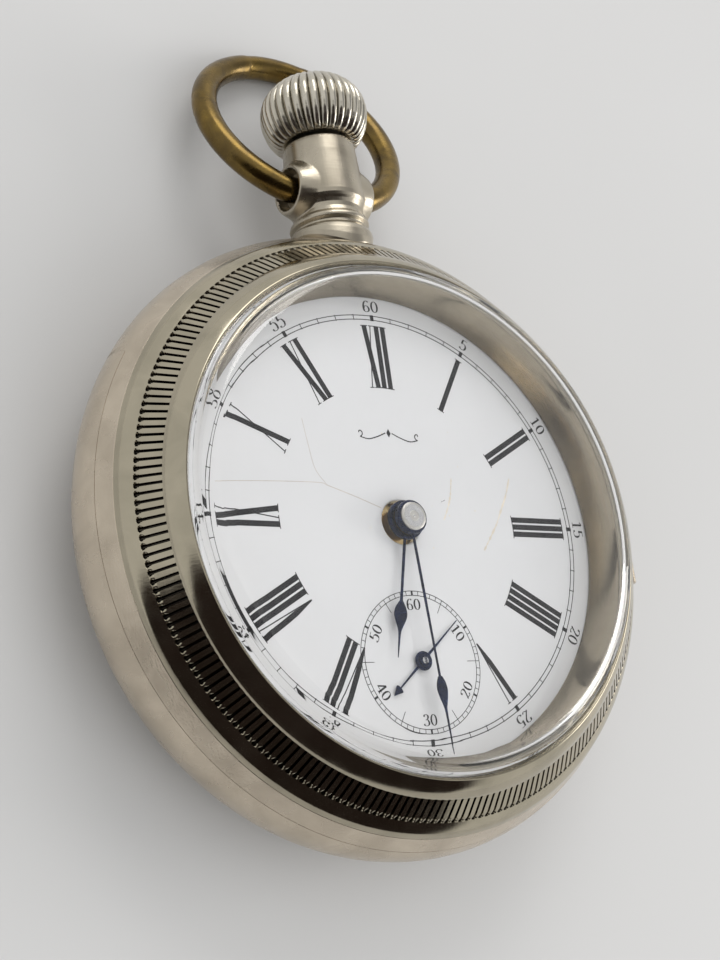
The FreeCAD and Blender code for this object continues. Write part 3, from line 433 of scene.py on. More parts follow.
def case_centre():
    """Ring between the seams, reaching down behind the pendant where the back cover stops."""
    lip, lip_angle = seam_lip, seam_lip / nose
    ledge_z = 8.6
    inside = [(21.25, 7.6), (23.0, 7.6), (23.5, 9.5), (25.8, 9.55)]
    collar = [(25.35, front_seam), (25.3, front_seam + 0.05), (25.3, 12.45), (25.2, 12.55), (24.45, 12.55),
              (24.35, 12.45), (24.35, 11.5), (22.2, 11.5), (22.15, 11.45), (22.15, 8.55), (22.1, 8.5),
              (21.25, 8.5), (21.2, 8.45), (21.2, 7.65)]
    rings = []
    for theta in rim_angles():
        z_low = rim_height(theta) + 0.012
        low = nose_phi(z_low)
        prof = inside + [(25.9, 8.75) if z_low > 9 else (26.4, 8.9)]
        for k in range(9):
            t = k / 8
            phi = nose_phi(ledge_z) + (nose_phi(min(z_low, ledge_z)) - nose_phi(ledge_z)) * t
            prof.append(nose_point(nose - rim_wall, phi) if z_low < ledge_z else (26.8, 8.75 + 0.9 * t))
        prof += [nose_point(nose - lip, low), nose_point(nose - 0.02, low + 0.3 * lip_angle)]
        for k in range(41):
            prof.append(side_point(z_low + lip + (front_seam - z_low - 2 * lip) * k / 40))
        prof += [(side_point(front_seam)[0] - lip, front_seam)] + collar
        rings.append(turned(prof, theta))
    return grid("case_ring", rings, True, True, 40.0)


def bezel():
    """Skirt, coin edge, polished roll, crystal's seat and sloping inner wall."""
    z = front_seam + 0.008
    skirt_r = side_point(z)[0]
    back, front = Vector((25.94, 12.55)), Vector((24.28, 14.29))      # ends of the coin edge
    out = Vector((front.y - back.y, back.x - front.x)).normalized()
    grooves, deep = 228, 0.30
    across = [0.0, 0.10, 0.25, 0.315, 0.35, 0.42, 0.50, 0.58, 0.65, 0.685, 0.75, 0.90]   # over one groove
    along = [0.0, 0.02, 0.045, 0.08, 0.13, 0.20, 0.35, 0.5, 0.65, 0.8, 0.9, 0.95, 0.98, 1.0]
    lower = [(25.40, z), (skirt_r - 0.012, z), (skirt_r - 0.002, z + 0.004)]
    lower += [side_point(z + 0.12), side_point(z + 0.42)]
    crease = Vector(side_point(z + 0.50))
    lower += [tuple(crease.lerp(back, t) + out * 0.16 * t * (1 - t)) for t in np.linspace(0.06, 0.96, 8)]
    upper = [(24.25, 14.38)]
    for t in np.linspace(0.05, 1.0, 16):
        swell = 0.08 * math.sin(math.pi * t)
        upper.append((24.24 - 1.22 * t + swell, 14.42 + 1.26 * t + swell))
    upper += [(22.93, bezel_top - 0.02), (22.83, bezel_top - 0.05), (22.75, bezel_top - 0.14),
              (22.71, bezel_top - 0.28), (22.71, seat_z + 0.03), (22.66, seat_z), (22.20, seat_z),
              (22.10, 14.97), (22.05, 14.90), (22.02, 14.65)]
    upper += [(22.02 - 1.0 * t ** 1.35, 14.65 - 2.90 * t) for t in np.linspace(0.06, 1.0, 18)]
    upper += [(sight_r + 0.01, 11.70), (sight_r + 0.08, 11.66), (24.2, 11.65), (24.25, 11.7), (24.25, 12.6),
              (24.3, 12.65), (25.3, 12.65), (25.35, 12.6)]
    rings, painted_shade_rows = [], []
    for i in range(grooves * len(across)):
        phase = across[i % len(across)]
        edge, painted_shade = [], []
        for t in along:
            half = 0.17 + 0.10 * math.exp(-((t - 0.06) / 0.07) ** 2)
            open_here = 1.0 if 0.01 < t < 0.99 else 0.0
            cut = max(0.0, 1 - (abs(phase - 0.5) / half) ** 4) ** 0.5 * open_here
            edge.append(tuple(back.lerp(front, t) - out * deep * cut))
            # Painted shade: near black in each groove, as strong as the cut is deep.
            painted_shade.append(min(1.0, cut * 1.6))
        painted_shade_rows.append([0.0] * len(lower) + painted_shade + [0.0] * len(upper))
        rings.append(turned(lower + edge + upper, 2 * math.pi * (i // len(across) + phase) / grooves))
    return grid("bezel_ring", rings, True, True, 50.0, painted_shade_rows)


def crystal():
    """Domed glass with a rolled edge that sits in the bezel."""
    thick, foot = 0.85, seat_z + 0.03
    outer = [(0.03, crystal_top)]
    outer += [(r, crystal_top - 0.90 * (r / sight_r) ** 2) for r in np.linspace(2, 20.8, 24)]
    rolled = [(21.25, 17.30), (21.62, 17.12), (21.92, 16.85), (22.12, 16.5), (22.28, 16.1), (22.46, 15.86),
              (22.62, 15.72), (22.67, 15.6), (22.67, foot + 0.07), (22.60, foot), (21.85, foot),
              (21.76, foot + 0.09), (21.62, 15.6), (21.45, 16.1), (21.22, 16.4), (20.92, 16.55),
              (20.6, 16.61)]
    inner = [(r, crystal_top - thick - 0.875 * (r / sight_r) ** 2) for r in np.linspace(20.0, 0.03, 24)]
    return lathe("crystal_glass_dome", outer + rolled + inner, 384, angle=60.0)


# ---------------------------------------------------------------- pendant, crown and bow
def pendant():
    """Turned pendant: saddle foot, two rings, bosses and sockets for the bow."""
    p = 3.63                       # radius of the plain neck; the outline is (distance along Y, radius)
    bore, mouth_y, foot_y = 1.6, 38.5, 26.6
    base = [(foot_y, p - 0.30), (27.6, p - 0.28), (28.1, p - 0.05), (28.30, p + 0.12), (28.5, p + 0.26),
            (28.8, p + 0.32), (29.1, p + 0.26), (29.28, p + 0.10), (29.38, p - 0.10), (29.45, p - 0.19),
            (29.60, p - 0.19), (29.70, p - 0.08), (29.85, p + 0.08), (30.05, p + 0.12), (30.25, p + 0.06),
            (30.42, p - 0.08), (30.60, p - 0.25), (31.0, p - 0.34), (31.4, p - 0.30), (31.75, p - 0.16),
            (31.95, p - 0.02), (32.2, p + 0.08), (32.6, p + 0.11), (34.6, p + 0.02), (36.8, p - 0.10),
            (38.0, p - 0.20), (38.28, p - 0.26), (38.42, p - 0.38), (mouth_y, p - 0.60)]
    ys, rs = [b[0] for b in base], [b[1] for b in base]
    fine = sorted(set(list(np.linspace(foot_y, 38.3, 210)) + ys))
    inner = [(mouth_y, 1.9), (38.0, bore), (30.0, bore), (26.4, bore)]
    steps = 400
    rings = []
    for i in range(steps):
        a = 2 * math.pi * i / steps
        column = []
        for y in fine:
            r = float(np.interp(y, ys, rs))
            x, z = r * math.cos(a), r * math.sin(a)
            if abs(math.cos(a)) > 0.35:
                x = math.copysign(boss_reach(abs(x), math.hypot(y - pivot_y, z)), x)
            saddle = 1 - min(1.0, max(0.0, (y - 28.3) / 1.2))
            drop = (nose - math.sqrt(max(0.0, nose * nose - z * z))) * saddle
            column.append((x, y - drop, stem_z + z))
        column += [(r * math.cos(a), y, stem_z + r * math.sin(a)) for y, r in inner]
        rings.append(column)
    return grid("pendant_tube", rings, True, True, 55.0)


def boss_reach(x, rho):
    """How far out the pendant's side stands, x without a boss, at a distance rho from the bow's axis."""
    socket, boss = 2.93, 4.16 - 0.10 * max(0.0, rho - 1.95) ** 2
    t = min(1.0, max(0.0, (2.95 - rho) / 0.75))
    reach = x + (max(boss, x) - x) * t * t * (3 - 2 * t)
    edge = min(1.0, max(0.0, (2.04 - rho) / 0.16))
    return reach + (socket - reach) * edge * edge * (3 - 2 * edge)


def crown():
    """Onion crown with rounded flutes that run over the shoulder."""
    flutes, per_flute, depth = 34, 12, 0.42
    pole, bore, bore_depth = 0.03, 0.86, 2.8
    shape = [(0.0, bore), (0.0, 3.2), (0.02, 3.60), (0.15, 3.95), (0.45, 4.28), (0.95, 4.62), (1.6, 4.90),
             (2.3, 5.08), (3.0, 5.16), (3.7, 5.12), (4.4, 4.93), (5.0, 4.62), (5.5, 4.22), (5.95, 3.74),
             (6.32, 3.20), (6.62, 2.60), (6.85, 1.95), (7.0, 1.3), (7.08, 0.7), (7.12, 0.25), (7.13, pole)]
    lengths = [math.hypot(b[0] - a[0], b[1] - a[1]) for a, b in zip(shape, shape[1:])]
    travel = np.cumsum([0] + lengths)
    fine = np.linspace(0, travel[-1], 90)
    ys = np.interp(fine, travel, [q[0] for q in shape])
    rs = np.interp(fine, travel, [q[1] for q in shape])
    rings, painted_shade_rows = [], []
    for i in range(flutes * per_flute):
        a = 2 * math.pi * i / (flutes * per_flute)
        ridge = abs(math.sin(0.5 * flutes * a))
        column, painted_shade = [], []
        for y, r in zip(ys, rs):
            fade = min(1.0, max(0.0, (r - 1.9) / 1.6))
            if y <= 0.02:
                fade *= min(1.0, max(0.0, (r - 3.3) / 0.4))
            cut_r = r - fade * depth * (1 - ridge ** 0.55)
            column.append((cut_r * math.cos(a), crown_y0 + y, stem_z + cut_r * math.sin(a)))
            # Painted shade in the flute valleys, darkest midway between the ridges.
            painted_shade.append(0.45 * fade * max(0.0, 1 - ridge * 1.7))
        for r in (pole, bore):
            column.append((r * math.cos(a), crown_y0 + bore_depth, stem_z + r * math.sin(a)))
        rings.append(column)
        painted_shade_rows.append(painted_shade + [0.0, 0.0])
    return grid("onion_crown", rings, True, True, 60.0, painted_shade_rows)


def bow():
    """Round wire bent to an oval, ends turned in to the sockets."""
    half_wide, half_long, middle, wire, tip_x = 10.0, 9.5, 8.64, 1.215, 3.06
    tilt, sides = math.radians(20.2), 32
    start = math.asin(-middle / half_long)

    def place(x, v, w):
        """Point at x across the bow, v along it and w out of its plane."""
        return (x, pivot_y + v * math.cos(tilt) + w * math.sin(tilt),
                pivot_z - v * math.sin(tilt) + w * math.cos(tilt))

    path = [(tip_x, 0.0), (3.5, 0.0), (3.85, 0.02)]
    path += [(half_wide * math.cos(t), middle + half_long * math.sin(t))
             for t in np.linspace(start + 0.02, math.pi - start - 0.02, 150)]
    path += [(-3.85, 0.02), (-3.5, 0.0), (-tip_x, 0.0)]
    path = np.asarray(path, float)
    tangent = np.gradient(path, axis=0)
    rings = []
    for k, ((x, v), (tx, tv)) in enumerate(zip(path, tangent)):
        length = math.hypot(tx, tv)
        nx, nv = tv / length, -tx / length
        worn = 1 - 0.035 * math.exp(-((k - 76) / 16.0) ** 2)
        ring = []
        for j in range(sides):
            c, s = math.cos(2 * math.pi * j / sides), math.sin(2 * math.pi * j / sides)
            px, pv, pw = x + wire * worn * c * nx, v + wire * worn * c * nv, wire * s
            if abs(x) < 3.1:
                px, pv, pw = x, v + (pv - v) * 0.97, pw * 0.97
            ring.append(place(px, pv, pw))
        rings.append(ring)
    for side in (1, -1):
        for r, inward in ((0.85, 0.0), (0.83, -0.9), (0.02, -0.9)):
            ring = []
            for j in range(sides):
                c, s = math.cos(2 * math.pi * j / sides) * side, math.sin(2 * math.pi * j / sides)
                ring.append(place(side * tip_x + side * inward, -r * c, r * s))
            rings = [ring] + rings if side > 0 else rings + [ring]
    return grid("bow_wire", rings, False, True, 60.0)


# ---------------------------------------------------------------- dial printing
def line_sides(points, width):
    """The two edges of a line of a width, or of width(tangent), through points."""
    pts = np.asarray(points, float)
    tan = np.gradient(pts, axis=0)
    tan /= np.maximum(np.linalg.norm(tan, axis=1), 1e-9)[:, None]
    normal = np.stack([-tan[:, 1], tan[:, 0]], axis=1)
    half = np.array([(width(t) if callable(width) else width) / 2 for t in tan])[:, None]
    return pts + normal * half, pts - normal * half


class Print:
    """Collects flat shapes in millimetres on the dial, then makes one thin raised mesh."""

    def __init__(self):
        self.verts, self.faces = [], []

    def ribbon(self, left, right):
        """Band between two rows of points."""
        base = len(self.verts)
        for p, q in zip(left, right):
            self.verts += [p, q]
        for k in range(len(left) - 1):
            i = base + 2 * k
            self.faces.append((i, i + 1, i + 3, i + 2))

    def stroke(self, points, width):
        left, right = line_sides(points, width)
        self.ribbon([tuple(p) for p in left], [tuple(p) for p in right])

    def ring(self, centre, r, width, steps=360):
        turns = np.linspace(0, 2 * math.pi, steps + 1)
        outer, inner = r + width / 2, r - width / 2
        self.ribbon([(centre[0] + outer * math.cos(a), centre[1] + outer * math.sin(a)) for a in turns],
                    [(centre[0] + inner * math.cos(a), centre[1] + inner * math.sin(a)) for a in turns])

    def ray(self, centre, angle, r0, r1, width):
        c, s = math.cos(angle), math.sin(angle)
        ends = [(centre[0] + r0 * c, centre[1] + r0 * s), (centre[0] + r1 * c, centre[1] + r1 * s)]
        self.stroke(ends, width)

    def turned_up(self, face):
        """The face with its corners anticlockwise seen from above."""
        area = 0.0
        for a, b in zip(face, face[1:] + face[:1]):
            area += self.verts[a][0] * self.verts[b][1] - self.verts[b][0] * self.verts[a][1]
        return face if area > 0 else tuple(reversed(face))

    def make(self, name, thick=0.012):
        top, low = dial_top + thick, dial_top + 0.001
        n = len(self.verts)
        verts = [(x * MM, y * MM, top * MM) for x, y in self.verts]
        verts += [(x * MM, y * MM, low * MM) for x, y in self.verts]
        faces, border = [], {}
        for face in (self.turned_up(f) for f in self.faces):
            faces += [face, tuple(n + i for i in reversed(face))]
            for a, b in zip(face, face[1:] + face[:1]):
                border[(a, b)] = (b, a) not in border
                if not border[(a, b)]:
                    border[(b, a)] = False
        faces += [(b, a, a + n, b + n) for (a, b), free in border.items() if free]
        mesh = bpy.data.meshes.new(name)
        mesh.from_pydata(verts, [], faces)
        mesh.update()
        obj = bpy.data.objects.new(name, mesh)
        bpy.context.scene.collection.objects.link(obj)
        return obj


def smooth_line(points, per=10):
    """Curve through given points."""
    p = [np.array(q, float) for q in points]
    p = [2 * p[0] - p[1]] + p + [2 * p[-1] - p[-2]]
    out = []
    for i in range(1, len(p) - 2):
        for k in range(per):
            t = k / per
            out.append(0.5 * ((2 * p[i]) + (p[i + 1] - p[i - 1]) * t
                              + (2 * p[i - 1] - 5 * p[i] + 4 * p[i + 1] - p[i + 2]) * t * t
                              + (-p[i - 1] + 3 * p[i] - 3 * p[i + 1] + p[i + 2]) * t ** 3))
    out.append(p[-2])
    return out


def oval(cx, cy, rx, ry):
    return [(cx + rx * math.cos(t), cy + ry * math.sin(t)) for t in np.linspace(0, 2 * math.pi, 41)]


# digits as pen paths in a box one high; the pen is thick on uprights and thin across
DIGITS = {
    "0": [oval(0.27, 0.5, 0.20, 0.47)],
    "1": [[(0.27, 1.0), (0.27, 0.02)], [(0.10, 0.84), (0.19, 0.92), (0.27, 0.98)],
          [(0.10, 0.02), (0.44, 0.02)]],
    "2": [smooth_line([(0.08, 0.74), (0.11, 0.92), (0.25, 0.98), (0.40, 0.90), (0.42, 0.70), (0.28, 0.42),
                       (0.06, 0.06)]),
          smooth_line([(0.06, 0.06), (0.18, 0.11), (0.34, 0.03), (0.46, 0.16)])],
    "3": [smooth_line([(0.09, 0.80), (0.15, 0.95), (0.28, 0.98), (0.40, 0.87), (0.39, 0.68), (0.30, 0.55),
                       (0.20, 0.53)]),
          smooth_line([(0.20, 0.53), (0.36, 0.50), (0.45, 0.30), (0.40, 0.09), (0.24, 0.01), (0.10, 0.06),
                       (0.06, 0.18)])],
    "4": [[(0.36, 1.0), (0.03, 0.30), (0.03, 0.28)], [(0.03, 0.28), (0.50, 0.28)],
          [(0.37, 1.0), (0.37, 0.02)], [(0.24, 0.02), (0.50, 0.02)]],
    "5": [[(0.13, 0.95), (0.41, 0.97)], [(0.14, 0.96), (0.11, 0.54)],
          smooth_line([(0.11, 0.54), (0.23, 0.62), (0.37, 0.56), (0.44, 0.34), (0.38, 0.09), (0.22, 0.01),
                       (0.09, 0.06), (0.07, 0.17)])],
    "6": [smooth_line([(0.42, 0.86), (0.34, 0.97), (0.20, 0.92), (0.10, 0.68), (0.07, 0.36), (0.12, 0.09),
                       (0.26, 0.01), (0.40, 0.09), (0.44, 0.28), (0.37, 0.48), (0.25, 0.54), (0.13, 0.46),
                       (0.09, 0.32)])],
}


def number(art, text, centre, angle, radius, height, squeeze, outward=False):
    """Digits across a spot on the dial, feet to the centre, or away from it when outward.

    squeeze widens or narrows the digits."""
    advance, fat, hair = 0.56 * squeeze, 0.17, 0.045
    turn = angle - math.pi / 2 + (math.pi if outward else 0)
    cx, cy = centre[0] + radius * math.cos(angle), centre[1] + radius * math.sin(angle)

    def pen(t):
        return height * (hair + (fat - hair) * abs(t[1]) ** 2.2)

    def place(x, y):
        return (cx + x * math.cos(turn) - y * math.sin(turn), cy + x * math.sin(turn) + y * math.cos(turn))

    for i, digit in enumerate(text):
        x0 = (i - (len(text) - 1) / 2) * advance
        for path in DIGITS[digit]:
            flat = [((x0 + (px - 0.27) * squeeze) * height, (py - 0.5) * height) for px, py in path]
            if len(flat) == 2:
                first, last = np.array(flat[0]), np.array(flat[1])
                flat = [tuple(first * (1 - t) + last * t) for t in (0, 0.34, 0.67, 1)]
            left, right = line_sides(flat, pen)
            art.ribbon([place(x, y) for x, y in left], [place(x, y) for x, y in right])


ROMAN = ["XII", "I", "II", "III", "IIII", "V", "", "VII", "VIII", "IX", "X", "XI"]
GLYPH_WIDTH = {"I": 0.67, "V": 1.22, "X": 1.28}
ROMAN_R0, ROMAN_R1, THICK, THIN = 12.42, 18.32, 0.50, 0.10


def roman(art, text, angle):
    """Roman numeral of parallel strokes, feet to the centre."""
    def at(u, r):
        depth = math.sqrt(r * r - u * u)
        return (depth * math.cos(angle) + u * math.sin(angle), depth * math.sin(angle) - u * math.cos(angle))

    def bar(u0, u1, width, foot=1.0):
        """Straight stroke from the inner circle at u0 to the outer at u1; foot thins its inner end."""
        left, right = [], []
        for t in np.linspace(0, 1, 7):
            u, r = u0 + (u1 - u0) * t, ROMAN_R0 + (ROMAN_R1 - ROMAN_R0) * t
            half = width / 2 * min(1.0, foot + (1 - foot) * t / 0.35)
            left.append(at(u - half, r))
            right.append(at(u + half, r))
        art.ribbon(left, right)

    def serif(u, r, half):
        spots = np.linspace(u - half, u + half, 5)
        art.ribbon([at(q, r - 0.04) for q in spots], [at(q, r + 0.04) for q in spots])

    lean = {1: 0.50, 2: 0.42}.get(len(text), 0.34)
    u = -sum(GLYPH_WIDTH[g] for g in text) / 2
    for glyph in text:
        mid = u + GLYPH_WIDTH[glyph] / 2
        if glyph == "I":
            bar(mid, mid, THICK)
            serif(mid, ROMAN_R0, 0.40)
            serif(mid, ROMAN_R1, 0.40)
        elif glyph == "V":
            bar(mid, mid - 0.36, THICK, 0.12)
            bar(mid + 0.06, mid + 0.42, THIN)
            serif(mid - 0.36, ROMAN_R1, 0.38)
            serif(mid + 0.42, ROMAN_R1, 0.20)
        else:
            bar(mid + lean, mid - lean, THICK)
            bar(mid - lean, mid + lean, THIN)
            for r, side in ((ROMAN_R0, 1), (ROMAN_R1, -1)):
                serif(mid + side * lean, r, 0.38)
                serif(mid - side * lean, r, 0.22)
        u += GLYPH_WIDTH[glyph]


def clockwise(part, whole):
    """Angle of a mark on a dial, from twelve o'clock."""
    return math.pi / 2 - 2 * math.pi * part / whole


def minute_track(art):
    """Two fine rings with a mark a minute, and a number every five."""
    track_in = track_r - 0.40
    for r in (track_r, track_in):
        art.ring((0, 0), r, 0.075, 720)
    for i in range(60):
        a = clockwise(i, 60)
        art.ray((0, 0), a, track_in - 0.08, track_r + 0.08, 0.36 if i % 5 == 0 else 0.075)
        if i % 5 == 0:
            number(art, str(i or 60), (0, 0), a, 20.22, 1.10, 1.42)


def seconds_dial(art):
    """Small dial at six, numbered every ten seconds."""
    for r in (6.15, 5.77):
        art.ring(seconds_centre, r, 0.06, 240)
    for i in range(60):
        wide = 0.18 if i % 10 == 0 else 0.055
        art.ray(seconds_centre, clockwise(i, 60), 4.86 if i % 10 == 5 else 5.74, 6.18, wide)
    for i, text in enumerate(("60", "10", "20", "30", "40", "50")):
        number(art, text, seconds_centre, clockwise(i, 6), 4.98, 0.98, 1.36, outward=i in (2, 3, 4))


def scroll(art):
    """Plain ornament under twelve: a sweep with a curl on each side of a small diamond."""
    y, curl_x, curl_r = 8.05, 3.1, 0.62
    for side in (-1, 1):
        curl = []
        for t in np.linspace(7.9, 3.14, 60):
            r = curl_r * (1 - t / 8.4)
            curl.append((side * (curl_x + r * math.sin(t)), y + r * math.cos(t)))
        sweep = smooth_line([curl[-1], (side * 2.2, 7.50), (side * 1.2, 7.78), (side * 0.35, 8.15)])
        art.stroke(curl + [tuple(q) for q in sweep[1:]], 0.10)
    art.ribbon([(-0.22, 8.15), (0.0, 8.55)], [(0.0, 7.75), (0.22, 8.15)])


def dial_print():
    art = Print()
    minute_track(art)
    for i, text in enumerate(ROMAN):
        if text:
            roman(art, text, clockwise(i, 12))
    seconds_dial(art)
    scroll(art)
    return art.make("dial_print")


def dial_wear():
    """Hairline cracks running out from the centre, and a few tan rub marks and specks."""
    cracks, stains = Print(), Print()
    fork = (-7.2, 3.0)                         # where the crack from the centre splits
    cracks.stroke(smooth_line([(-1.9, 1.2), (-4.4, 2.1), fork]), 0.065)
    cracks.stroke(smooth_line([fork, (-8.2, 4.4), (-8.6, 6.6), (-8.9, 8.9)]), 0.045)
    cracks.stroke(smooth_line([fork, (-8.1, 3.2), (-12.6, 3.1), (-17.8, 2.85)]), 0.05)
    for line in ([(6.2, 4.3), (5.8, 2.7), (5.2, 1.3), (4.7, 0.4)],
                 [(12.9, 4.6), (12.2, 3.0), (11.4, 1.6), (10.6, 0.2)],
                 [(10.6, 0.2), (9.4, -1.4), (8.7, -2.3)]):
        stains.stroke(smooth_line(line, 14), lambda t: random.uniform(0.03, 0.26))
    for k in range(16):
        r, a, size = random.uniform(3, 18), random.uniform(0, 2 * math.pi), random.uniform(0.03, 0.07)
        x, y = r * math.cos(a), r * math.sin(a)
        stains.ribbon([(x - size, y - size), (x + size, y - size * 0.6)],
                      [(x - size * 0.7, y + size), (x + size, y + size)])
    return cracks.make("dial_cracks", 0.004), stains.make("dial_marks", 0.004)


# ---------------------------------------------------------------- hands
def blade(name, stations, z, centre, angle, height=0.16, steps=140):
    """Hand with a rounded top from (distance, half width) stations."""
    section = ((-1, 0), (-0.96, 0.35), (-0.7, 0.72), (-0.35, 0.93), (0, 1.0), (0.35, 0.93), (0.7, 0.72),
               (0.96, 0.35), (1, 0), (0, -0.05))
    c, s = math.cos(math.radians(angle)), math.sin(math.radians(angle))
    rings = []
    for station in smooth_line(stations, steps // len(stations)):
        d, w = float(station[0]), max(0.015, float(station[1]))
        ring = []
        for u, h in section:
            v = u * w
            lift = height * (0.45 + 0.55 * h) if h > 0 else height * 0.05
            ring.append((centre[0] + d * c - v * s, centre[1] + d * s + v * c,
                         z + lift * min(1.0, 0.35 + w * 2.2)))
        rings.append(ring)
    return cap_ends(grid(name, rings, False, True, 50.0))


def cap_ends(obj):
    """Close the two ends of an open tube of rings."""
    bm = bmesh.new()
    bm.from_mesh(obj.data)
    edges = [e for e in bm.edges if len(e.link_faces) == 1]
    bmesh.ops.holes_fill(bm, edges=edges, sides=64)
    bm.to_mesh(obj.data)
    bm.free()
    return finish_mesh(obj, 50.0)


def join(name, objs):
    bpy.ops.object.select_all(action="DESELECT")
    for o in objs:
        o.select_set(True)
    bpy.context.view_layer.objects.active = objs[0]
    bpy.ops.object.join()
    objs[0].name = name
    return objs[0]


def collet(name, centre, r0, r1, z0, z1, soft=0.12):
    """Short tube with rounded edges, pressed on an arbor."""
    outline = [(r0, z0, soft / 2), (r1, z0, soft), (r1, z1, soft), (r0, z1, soft / 2)]
    return lathe(name, fillet(outline, 4), 96, centre)


def hour_hand():
    shape = [(1.5, 0.13), (4.0, 0.14), (7.0, 0.13), (7.5, 0.24), (8.0, 0.52), (8.6, 0.66), (9.2, 0.50),
             (9.8, 0.24), (10.3, 0.12), (11.4, 0.08), (12.4, 0.03)]
    spade = blade("hour_blade", shape, 12.24, (0, 0), hour_angle)
    return join("hour_hand_blued", [spade, collet("hour_hub", (0, 0), 1.38, 1.75, 11.96, 12.49)])


def minute_hand():
    shape = [(1.2, 0.13), (6.0, 0.13), (13.4, 0.11), (13.9, 0.22), (14.4, 0.44), (15.0, 0.53), (15.6, 0.42),
             (16.2, 0.24), (16.8, 0.12), (18.5, 0.08), (20.5, 0.03)]
    spade = blade("minute_blade", shape, 12.88, (0, 0), minute_angle)
    return join("minute_hand_blued", [spade, collet("minute_hub", (0, 0), 1.01, 1.50, 12.65, 13.36, 0.16)])


def second_hand():
    """Long pointer, short arrow tail and a boss on a pipe."""
    z, thick, bore = 11.77, 0.13, 0.31
    pointer = blade("second_blade", [(-3.6, 0.07), (-2.0, 0.09), (0.0, 0.14), (2.5, 0.09), (5.5, 0.04)],
                    z, seconds_centre, second_angle, thick)
    tail = blade("second_tail", [(-4.5, 0.015), (-4.0, 0.24), (-3.62, 0.40), (-3.50, 0.10)],
                 z, seconds_centre, second_angle, thick, 60)
    boss = collet("second_hub", seconds_centre, bore, 0.84, z, 12.02)
    pipe = collet("second_pipe", seconds_centre, bore, 0.52, 11.66, 12.17, 0.06)
    return join("second_hand_blued", [pointer, tail, boss, pipe])


def post_cap():
    """Polished steel end of the centre post, with a turned ring and a centre mark."""
    top, under = 13.55, 13.37
    prof = [(0.03, top - 0.05), (0.10, top - 0.02), (0.16, top), (0.42, top), (0.46, top - 0.02), (0.50, top),
            (0.66, top), (0.70, top - 0.02), (0.74, top), (1.16, top), (1.24, top - 0.05), (1.27, 13.42),
            (1.27, under + 0.01), (1.05, under), (0.03, under)]
    return lathe("post_end", prof, 96)


def hinge_knuckle(name, y0, y1):
    """Rounded barrel of the back's hinge."""
    end_r, round_off = 0.62, 0.08
    prof = [(hinge_pin_r, y0), (end_r, y0), (knuckle_r, y0 + round_off), (knuckle_r, y1 - round_off),
            (end_r, y1), (hinge_pin_r, y1)]
    obj = lathe(name, prof, 48)
    place = Matrix.Translation((hinge_x * MM, 0, back_seam * MM))
    obj.data.transform(place @ Matrix.Rotation(-math.pi / 2, 4, "X"))
    return obj


def enamel_dial():
    """White disc with rounded edges and a hole for the centre post."""
    under, hole_r, edge_r = dial_top - 0.8, 1.95, dial_r - 0.01
    outline = [(hole_r, under), (edge_r, under, 0.1), (edge_r, dial_top, 0.15), (hole_r, dial_top, 0.25)]
    return lathe("enamel_dial", fillet(outline, 5), 256)


# ---------------------------------------------------------------- assemble
add(back_cover(), "back", ["back_cover"], case_nickel)
add(case_centre(), "case", ["case_centre"], case_nickel)
add(bezel(), "bezel", ["bezel"], bezel_nickel)
add(crystal(), "crystal", ["crystal"], crystal_glass)
add(pendant(), "case", ["pendant"], pendant_nickel)
add(crown(), "crown", ["crown"], crown_nickel)
add(cap_ends(bow()), "bow", ["bow"], worn_brass)

add(enamel_dial(), "case", ["dial"], white_enamel)
add(dial_print(), "case", [], black_ink)
cracks, marks = dial_wear()
add(cracks, "case", [], crack_ink)
add(marks, "case", [], stain_ink)
add(hour_hand(), "hour_wheel", ["hour_hand"], blued)
add(minute_hand(), "centre_wheel", ["minute_hand"], blued)
add(second_hand(), "fourth_wheel", ["second_hand"], blued)
add(post_cap(), "centre_wheel", [], turned_steel)

add(hinge_knuckle("hinge_knuckle_low", -4.5, -1.52), "case", [], case_nickel)
add(hinge_knuckle("hinge_knuckle_mid", -1.47, 1.47), "back", [], case_nickel)
add(hinge_knuckle("hinge_knuckle_high", 1.52, 4.5), "case", [], case_nickel)

for row in frame["record"]["subparts"]:
    node = frame["nodes"][row["node"]]
    if node.hide_render:
        continue
    node.data.materials.clear()
    node.data.materials.append(SLOT_MATERIAL[row["material_slot"]])


# ---------------------------------------------------------------- floor, lights, camera
def floor():
    mesh = bpy.data.meshes.new("floor")
    size = 1.2
    corners = [(-size, -size, 0), (size, -size, 0), (size, size, 0), (-size, size, 0)]
    mesh.from_pydata(corners, [], [(0, 1, 2, 3)])
    obj = bpy.data.objects.new("floor", mesh)
    bpy.context.scene.collection.objects.link(obj)
    s = Surface("floor_paint", (0.62, 0.62, 0.62), 0.0, 0.6)
    s.color_from(s.ramp(s.noise(14.0, 3.0), [(0.3, (0.61, 0.61, 0.612)), (0.7, (0.635, 0.635, 0.638))]))
    obj.data.materials.append(s.material)


def area(name, location, size, watts, color=(1, 1, 1)):
    """Soft rectangular lamp that faces the watch."""
    data = bpy.data.lights.new(name, "AREA")
    data.shape = "RECTANGLE"
    data.size, data.size_y = size
    data.energy = watts
    data.color = color
    obj = bpy.data.objects.new(name, data)
    bpy.context.scene.collection.objects.link(obj)
    obj.location = Vector(location)
    obj.rotation_mode = "QUATERNION"
    obj.rotation_quaternion = Vector(location).to_track_quat("Z", "Y")
    return obj


ROOM = (0.82, 0.82, 0.81, 1)


def room_patch(nodes, links, direction, aim, near, far, dark):
    """Room colour that turns dark near one direction, from a cosine of near to one of far."""
    dot = nodes.new("ShaderNodeVectorMath")
    dot.operation = "DOT_PRODUCT"
    dot.inputs[1].default_value = Vector(aim).normalized()
    links.new(direction, dot.inputs[0])
    ramp = nodes.new("ShaderNodeValToRGB")
    points = ramp.color_ramp.elements
    points[0].position, points[0].color = near, ROOM
    points[1].position, points[1].color = far, (*dark, 1)
    links.new(dot.outputs["Value"], ramp.inputs["Fac"])
    return ramp.outputs["Color"]


